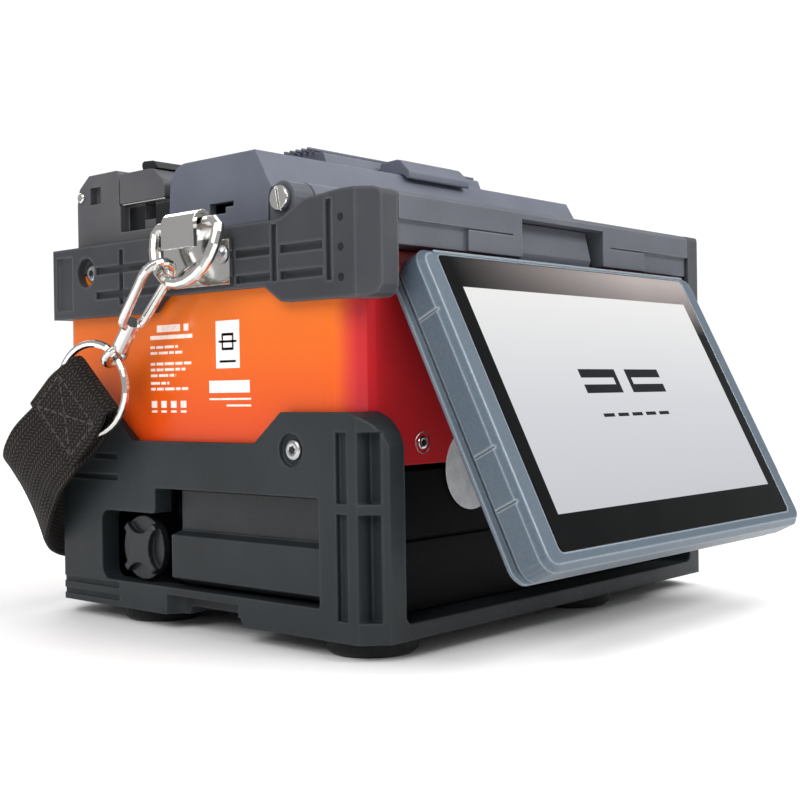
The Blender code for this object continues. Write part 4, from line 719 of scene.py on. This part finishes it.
def screw(name, place, axis, radius, body, cup=0.0, sunk=0.0):
    """A pan-head screw with a six-lobed socket, in a washer cup if `cup` is given.

    `sunk` lowers the head into its seat, in millimetres.
    """
    axis = Vector(axis)
    u = axis.orthogonal().normalized()
    place = place - axis * sunk / 1000
    head = [(0, 0), (radius, 0), (radius, 0.5), (radius * 0.9, 0.85), (radius * 0.62, 1.05),
            (radius * 0.5, 0.95), (0, 0.95)]
    shells = [turned(head, place, axis)]
    if cup:
        ring = [(radius + 0.3, 0.2), (cup, 0.2), (cup - 0.2, 0.75), (radius + 0.5, 0.6),
                (radius + 0.3, 0.2)]
        shells.append(turned(ring, place, axis))
    piece(name, shells, steel if not cup else nickel, body)
    # painted shade: a flat dark star stands in for the socket's hollow
    socket_shade = slab(star(radius * 0.44), place + axis * 0.00094, u, axis.cross(u), 0.06)
    piece(name + "_socket", [socket_shade], port_abs, body)


for side, s in (("left", -1), ("right", 1)):
    screw(f"base_screw_{side}", at(s * 78.6, -37.4, 49.9), (s, 0, 0), 2.7, "machine")
    screw(f"front_screw_{side}", at(s * 51, -55.5, 51), (0, -1, 0), 1.8, "machine", 3.0, 0.65)
    screw(f"bumper_screw_{side}", at(s * 77.2, 46.8, 99.5), (s, 0, 0), 2.6, "machine")
    screw(f"rear_screw_{side}", at(s * 66, 62, 92), (0, 1, 0), 2.2, "machine")

# %% [markdown]
# The orange side carries white screen print and a label. The print is drawn only as
# rows of bars, with no words, and the label has a plain mark. Real ink and film are thin
# sheets, each standing a little higher than the last. Here all three are made inwards
# from one plane just above the lacquer, so the mark shares the film's face and comes out
# dark. Making each outwards by its own thickness would keep them apart.

# %% Print and label on the shell's left side
side_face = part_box("main_shell")[0].x
forward, upward = Vector((0, -1, 0)), Vector((0, 0, 1))
PRINT_LIFT = 0.00002   # metres from the lacquer to the face of the ink and film


def printed(shapes, thick):
    """Shapes of (front y, rear y, low z, high z) in millimetres on the left side."""
    out = []
    for y0, y1, z0, z1 in shapes:
        origin = Vector((side_face - PRINT_LIFT, shift, 0))
        outline = [(-y1, z0), (-y1, z1), (-y0, z1), (-y0, z0)]
        out.append(slab(outline, origin, forward, upward, -thick))
    return out


ink = [(8.1, 18.1, 81.2, 83.1), (4.6, 6.6, 81.2, 83.1), (3.0, 21.1, 79.2, 80.3)]
row_lengths = [12, 14, 17.5, 15, 11, 8, 16]
for row, long in enumerate(row_lengths):
    z = 76.7 - row * 1.6 - (1.4 if row > 1 else 0) - (0.5 if row > 4 else 0)
    left = 21.1
    while long > 0:
        word = min(2.0 + (row * 7 + int(long * 3)) % 3, long)
        ink.append((left - word, left, z, z + 0.75))
        left -= word + 0.6
        long -= word + 0.6
for k in range(4):
    ink += [(18.5 - 4.2 * k, 20.9 - 4.2 * k, 60.4, 62.3), (18.5 - 4.2 * k, 20.9 - 4.2 * k, 59.1, 59.7)]
ink += [(-20.0, -3.7, 62.4, 62.9), (-20.0, -10.5, 60.7, 61.2)]
piece("side_print", printed(ink, 0.03), white_print, "machine")
film = [(-15.9, -6.6, 70.7, 83.2), (-19.6, -3.7, 64.3, 67.5)]
piece("side_label", printed(film, 0.08), label_film, "machine")
marks = [(-13.6, -8.9, 79.2, 79.9), (-13.6, -8.9, 75.4, 76.1), (-13.6, -13.0, 76.1, 79.2),
         (-9.5, -8.9, 76.1, 79.2), (-14.8, -7.7, 77.4, 78.0), (-14.4, -8.0, 72.2, 72.8)]
label_ink = moulded("orange_label_ink", "#D8480F", "#E8591A", "#F07A3A", 0.5, 0.1)
piece("side_label_mark", printed(marks, 0.11), label_ink, "machine")
print("print:", len(ink), "bars of ink")

# %% [markdown]
# A round foil seal is stuck to the battery's front. Its rim is a fine raised ring,
# pressed by the die that cut it. The rows for its centre start a hundredth of a
# millimetre under its face, so they don't show.

# %% Seal on the battery
battery_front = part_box("battery_pack")[0].y
seal_place = Vector((-0.031, battery_front, 0.0435))
disc = [(0, 0.05), (10.8, 0.05), (11.0, 0.12), (11.0, 0.22), (10.5, 0.26), (10.2, 0.20), (0, 0.20)]
seal_profile = [(r, h + 0.18) for r, h in disc]
piece("battery_seal", [turned(seal_profile, seal_place, (0, -1, 0), 40)], silver_foil, "battery")
seal_rows = []
for k in range(-2, 3):
    row = box_outline(3.0 - abs(k) * 0.6, 0.35, 0, 3, (k % 2 * 0.8, k * 1.6))
    seal_rows.append(slab(row, seal_place + Vector((0, -0.00037, 0)), (1, 0, 0), (0, 0, 1), -0.04))
piece("battery_seal_print", seal_rows, port_abs, "battery")
print("the seal is", 2 * max(r for r, _ in seal_profile), "mm across")

# %% [markdown]
# Small fittings finish the heater: a thin bright plate between the oven and its lid,
# hinge pins, and ribs where a finger lifts the lid. The plate is one sheet with no
# opening, so it hides the oven's trough when the lid is up.

# %% Heater details
lid_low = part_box("heater_lid")
plate_y = (lid_low[0].y + lid_low[1].y) / 2
strip = slab(box_outline(71.6, 9.9, 0.6), Vector((0, plate_y, 0.11905)), (1, 0, 0), (0, 1, 0), 0.44)
piece("heater_plate", [strip], nickel, "machine")
for side, s in (("left", -1), ("right", 1)):
    pin_profile = [(0, 0), (1.5, 0), (1.5, 0.7), (1.2, 1.0), (0, 1.0)]
    pin = turned(pin_profile, at(s * 71.7, 59.5, 123.3), (s, 0, 0))
    piece(f"heater_pin_{side}", [pin], nickel, "machine")
lid_top = lid_low[1].z     # the lid itself, below its tab
ribs = [slab(box_outline(0.4, 3.2, 0.3), Vector((-0.0405 + 0.0022 * k, plate_y, lid_top - 0.0001)),
             (1, 0, 0), (0, 1, 0), 0.35) for k in range(5)]
piece("heater_lid_ribs", ribs, heater_abs, "heater_lid")
for side, s in (("left", -1), ("right", 1)):
    ends = [slab(box_outline(half, 3.6, 0.3), at(s * 68.6, y, 115.0), (0, s, 0), (0, 0, 1), 0.1)
            for y, half in ((24.6, 3.8), (37.0, 3.5))]
    piece(f"heater_end_inserts_{side}", ends, port_abs, "machine")
print("the heater's plate is 143.2 mm long, and its lid has", len(ribs), "ribs")

# %% [markdown]
# Ribs give a finger something to hold on the wind cover's grip and plate. Those on the
# plate are level and 77 mm long, so they run a little past its ends and don't follow
# its slope.

# %% Ribs on the wind cover
grip_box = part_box("cover_grip")
grip_ribs = []
for k in range(4):
    start_at = Vector((0, grip_box[0].y + 0.0052 + 0.0013 * k, 0.13215 - 0.00005 * k))
    grip_ribs.append(slab(box_outline(12.5, 0.28, 0.2), start_at, (1, 0, 0), (0, 1, 0), 0.45))
piece("cover_grip_ribs", grip_ribs, cover_abs, "cover")
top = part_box("cover_top_plate")
rails = []
for k in range(5):
    start_at = Vector((0, top[0].y + 0.006 + 0.0024 * k, top[1].z - 0.0005))
    rails.append(slab(box_outline(38.5, 0.45, 0.3), start_at, (1, 0, 0), (0, 1, 0), 0.75))
piece("cover_top_ribs", rails, cover_abs, "cover")
print("ribs on the wind cover:", len(grip_ribs) + len(rails))

# %% [markdown]
# Each key has a small printed mark inside a ring, drawn from the same outlines as the
# screws' sockets, so it needs no letters.

# %% Marks on the keys
key_marks = {"key_power": [box_outline(0.25, 1.2)],
             "key_splice": [box_outline(0.7, 0.25, 0, 3, (k, 0)) for k in (-1.0, 1.0)],
             "key_heat": [box_outline(0.22, 1.2, 0, 3, (k, 0)) for k in (-0.9, 0, 0.9)],
             "key_reset": [star(1.5, 3, 0.45)]}
for name, outlines in key_marks.items():
    low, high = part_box(name)
    origin = Vector(((low.x + high.x) / 2, (low.y + high.y) / 2, high.z - 0.00002))
    rim = turned([(2.9, 0.0), (3.1, 0.0), (3.1, 0.12), (2.9, 0.12), (2.9, 0.0)], origin, (0, 0, 1))
    mark = [slab(o, origin, (1, 0, 0), (0, 1, 0), 0.07) for o in outlines]
    piece(f"{name}_mark", mark + [rim], white_print, name)
print("marked keys:", len(key_marks))

# %% [markdown]
# Two small green lamps stand by the keys. A lens like this is tinted all through, so its
# colour varies with a noise and it glows faintly, which reads as lit from behind.

# %% Lamps by the keys
lamp, tree, shader, place = start("green_lamp_lens", 0.2, Emission_Strength=0.4)
shader.inputs["Emission Color"].default_value = linear("#3ED36A")
glass_depth = add(tree, "TexNoise", {"Vector": place, "Scale": 900.0}).outputs["Fac"]
tint = ramp(tree, glass_depth, [(0.3, "#1E8F45"), (0.7, "#43C46D")])
tree.links.new(tint, shader.inputs["Base Color"])
lens = [(0, 0), (1.2, 0), (1.2, 0.25), (0.8, 0.5), (0, 0.6)]
lamps = [turned(lens, at(s * 42, -56, 111.95), (0, 0, 1)) for s in (-1, 1)]
piece("status_lamps", lamps, lamp, "machine")
print("each lamp is", 2 * max(r for r, _ in lens), "mm across")

# %% [markdown]
# The base and bumpers are moulded with raised rails and pads so that the machine can be
# gripped and stacked. Here they are made inwards from just under the surface, so they
# don't show: a slab grows towards u x v, and this u points the wrong way for that. The
# three small vents in each bumper do show, as dark discs: painted shade that stands in
# for the holes.

# %% Rails on the base and bumpers, and painted shade for the vents
for side, s in (("left", -1), ("right", 1)):
    u = Vector((0, -s, 0))
    # painted shade: flat dark discs stand in for the vent holes
    vent_shade_discs = [turned([(0, 0), (1.0, 0), (0.95, 0.05), (0, 0.06)], at(s * 80, -55.5, z), (s, 0, 0), 16)
            for z in (105.5, 98.4, 91.3)]
    piece(f"bumper_vent_shade_{side}", vent_shade_discs, port_abs, "machine")
    knuckles = [slab(box_outline(2.3, 0.7, 0.5), at(s * 79.8, -45.0, z), u, upward, 0.5)
                for z in (102.6, 105.0)]
    pads = [slab(box_outline(2.6, 1.1, 0.8), at(s * 79.8, y, z), u, upward, 0.6)
            for y, z in ((-42.5, 95.2), (-24.5, 95.6), (20.0, 95.6), (36.5, 95.6))]
    piece(f"bumper_pads_{side}", knuckles + pads, bumper_rubber, "machine", 0.15)
    lip = [slab(box_outline(29.5, 0.5, 0.3), at(s * 79.9, -15.5, 39.6), u, upward, 0.45),
           slab(box_outline(29.5, 0.5, 0.3), at(s * 79.9, -15.5, 10.6), u, upward, 0.45)]
    ribs_low = [slab(box_outline(0.9, 3.4, 0.5), at(s * 79.9, y, 47.2), u, upward, 0.5)
                for y in (-24, -12, 0, 12, 24)]
    piece(f"base_rails_{side}", lip + ribs_low, base_abs, "machine", 0.12)
print("each bumper has", len(vent_shade_discs), "vents and", len(pads), "pads")

# %% [markdown]
# Above its step, each panel in the base's side windows carries a thin satin black sheet.
# It is painted shade: darker than the base, it makes the window look deeper than it is.

# %% Painted shade in the side windows
for side, s in (("left", -1), ("right", 1)):
    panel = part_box(f"side_panel_{side}")
    middle = Vector((s * 0.0754, (panel[0].y + panel[1].y) / 2, 0.0326))
    # painted shade: a thin dark sheet where the recessed upper window lies in shade
    painted_shade_sheet = slab(box_outline(28.2, 5.3, 0.4), middle, (0, s, 0), upward, 0.12)
    piece(f"panel_painted_shade_{side}", [painted_shade_sheet], knob_abs, "machine")
print("the inserts stand at height", middle.z, "m")

# %% [markdown]
# The back is seen when the machine is turned round: air slots drawn as dark slabs, which
# are painted shade for their hollows, a rating label with bars instead of words, and two
# moulded rings under each foot.

# %% Back and underside
rear_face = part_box("main_shell")[1].y
# painted shade: flat dark slabs stand in for the air slots' hollows
slots = [slab(box_outline(11, 0.7, 0.7), Vector((0.038, rear_face - 0.00005, 0.062 + 0.0032 * k)),
              (-1, 0, 0), (0, 0, 1), 0.08) for k in range(8)]
piece("rear_air_slots", slots, port_abs, "machine")
label_place = at(-28, BASE_REAR_MM, 47)
rating = [slab(box_outline(15, 6, 1.0), label_place, (-1, 0, 0), (0, 0, 1), 0.08)]
piece("rating_label", rating, label_film, "machine")
lines = [slab(box_outline(11 - (k % 3) * 2, 0.35, 0, 3, ((k % 3) * 1.5, 4 - 2 * k)),
              label_place + Vector((0, 0.00008, 0)), (-1, 0, 0), (0, 0, 1), 0.03) for k in range(5)]
piece("rating_label_lines", lines, port_abs, "machine")
for name in ("foot_front_left", "foot_front_right", "foot_rear_left", "foot_rear_right"):
    low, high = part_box(name)
    middle_of_foot = Vector(((low.x + high.x) / 2, (low.y + high.y) / 2, low.z))
    rings = []
    for r in (4.2, 7.0):
        profile = [(r, 0.3), (r + 0.7, 0.3), (r + 0.7, 0.02), (r, 0.02), (r, 0.3)]
        rings.append(turned(profile, middle_of_foot, (0, 0, 1)))
    piece(f"{name}_rings", rings, foot_rubber, "machine")
print("air slots in the back:", len(slots))

# %% [markdown]
# The display's back has four screws and a rubber strip that it rests on when it is
# closed. They ride on the display, so they tilt with it: each is placed in the display's
# own frame, which leans by the tilt from the hinge line. A thin ridge lies along its
# front's top edge, and stands a fraction of a millimetre clear of the chamfer there.

# %% The display's back and edges
lean = Matrix.Rotation(-TILT, 3, "X")


def on_screen(x, out, up_from_hinge):
    """A point in the display's own frame, in millimetres: out is towards its front."""
    return at(*HINGE_MM) + lean @ Vector((x, -out, up_from_hinge)) / 1000


screen_back = lean @ Vector((0, 1, 0))
screen_up = lean @ Vector((0, 0, 1))
for k, (x, z) in enumerate(((-58, -12), (58, -12), (-58, -76), (58, -76))):
    screw(f"display_screw_{k + 1}", on_screen(x, -1.25, z), screen_back, 1.9, "screen", 0.0, 0.85)
rest = [slab(box_outline(40, 1.6, 1.5, 4), on_screen(0, -1.25, -74), (-1, 0, 0), screen_up, 0.45)]
piece("display_rest_strip", rest, foot_rubber, "screen")
# painted shade: thin dark slabs stand in for the speaker slots' hollows
vents = [slab(box_outline(7, 0.5, 0.5), on_screen(x, -1.28, -30 - 3 * k), (-1, 0, 0), screen_up, 0.06)
         for x in (-30, 30) for k in range(6)]
piece("display_speaker_slots", vents, port_abs, "screen")
ridge = [slab(box_outline(60.6, 0.35, 0.3), on_screen(0, 10.66, -1.55), (1, 0, 0), screen_up, 0.30)]
piece("display_ridge", ridge, bezel_lacquer, "screen")
print("speaker slots in the display's back:", len(vents))

# %% [markdown]
# The floor is plain matt white paper. Lamps light it evenly only near the machine, so
# further out the paper glows a little, more and more with distance, and its edge melts
# into the white backdrop. It is only a stage, and isn't part of the object.

# %% Floor
paper, tree, shader, place = start("matt_white_paper", 0.85)
fibres = add(tree, "TexNoise", {"Vector": place, "Scale": 40.0, "Detail": 6.0}).outputs["Fac"]
tree.links.new(ramp(tree, fibres, [(0.3, "#F4F4F4"), (0.7, "#F8F8F8")]), shader.inputs["Base Color"])
away = add(tree, "VectorMath", {0: place}, operation="LENGTH").outputs["Value"]
glow = add(tree, "MapRange", {"Value": away, "From Min": 0.18, "From Max": 0.42, "To Max": 0.8})
tree.links.new(glow.outputs["Result"], shader.inputs["Emission Strength"])
floor_mesh = bpy.data.meshes.new("floor")
reach = 0.6
floor_mesh.from_pydata([(-reach, -reach, 0), (reach, -reach, 0), (reach, reach, 0), (-reach, reach, 0)],
                       [], [(0, 1, 2, 3)])
floor_mesh.materials.append(paper)
floor = bpy.data.objects.new("floor", floor_mesh)
bpy.context.collection.objects.link(floor)
print("the floor reaches", reach, "m each way")

# %% [markdown]
# Studio light is large and soft. One big light stands over the machine's left, a second
# high at the right washes over the top, a third fills the front and a fourth lifts the
# rear. The backdrop is white, but the room that lights the machine is less than half as
# bright: the Light Path node tells the two apart, so dark plastic stays dark.

# %% Lights
def softbox(name, place, target, size, watts):
    data = bpy.data.lights.new(name, "AREA")
    data.shape = "RECTANGLE"
    data.size, data.size_y = size
    data.energy = watts
    light = bpy.data.objects.new(name, data)
    light.location = place
    light.rotation_euler = (Vector(target) - Vector(place)).to_track_quat("-Z", "Y").to_euler()
    bpy.context.collection.objects.link(light)


softbox("key_light", (-0.9, -0.15, 0.75), (0, 0, 0.06), (0.7, 0.7), 7.5)
softbox("top_light", (0.35, -0.25, 1.0), (0, 0, 0.1), (0.9, 0.9), 3.5)
softbox("front_fill", (0.3, -1.0, 0.8), (0, 0, 0.06), (0.9, 0.5), 14)
softbox("rear_light", (0.5, 0.9, 0.7), (0, 0, 0.08), (0.8, 0.6), 6)
world = bpy.data.worlds.new("studio")
bpy.context.scene.world = world
world.use_nodes = True
room = world.node_tree
seen = add(room, "LightPath").outputs["Is Camera Ray"]
strength = add(room, "MapRange", {"Value": seen, "To Min": 0.45, "To Max": 1.05}).outputs["Result"]
room.links.new(strength, room.nodes["Background"].inputs["Strength"])
room.nodes["Background"].inputs["Color"].default_value = linear("#FFFFFF")
bpy.context.scene.view_settings.view_transform = "Standard"
print("lamps in the studio:", len(bpy.data.lights))
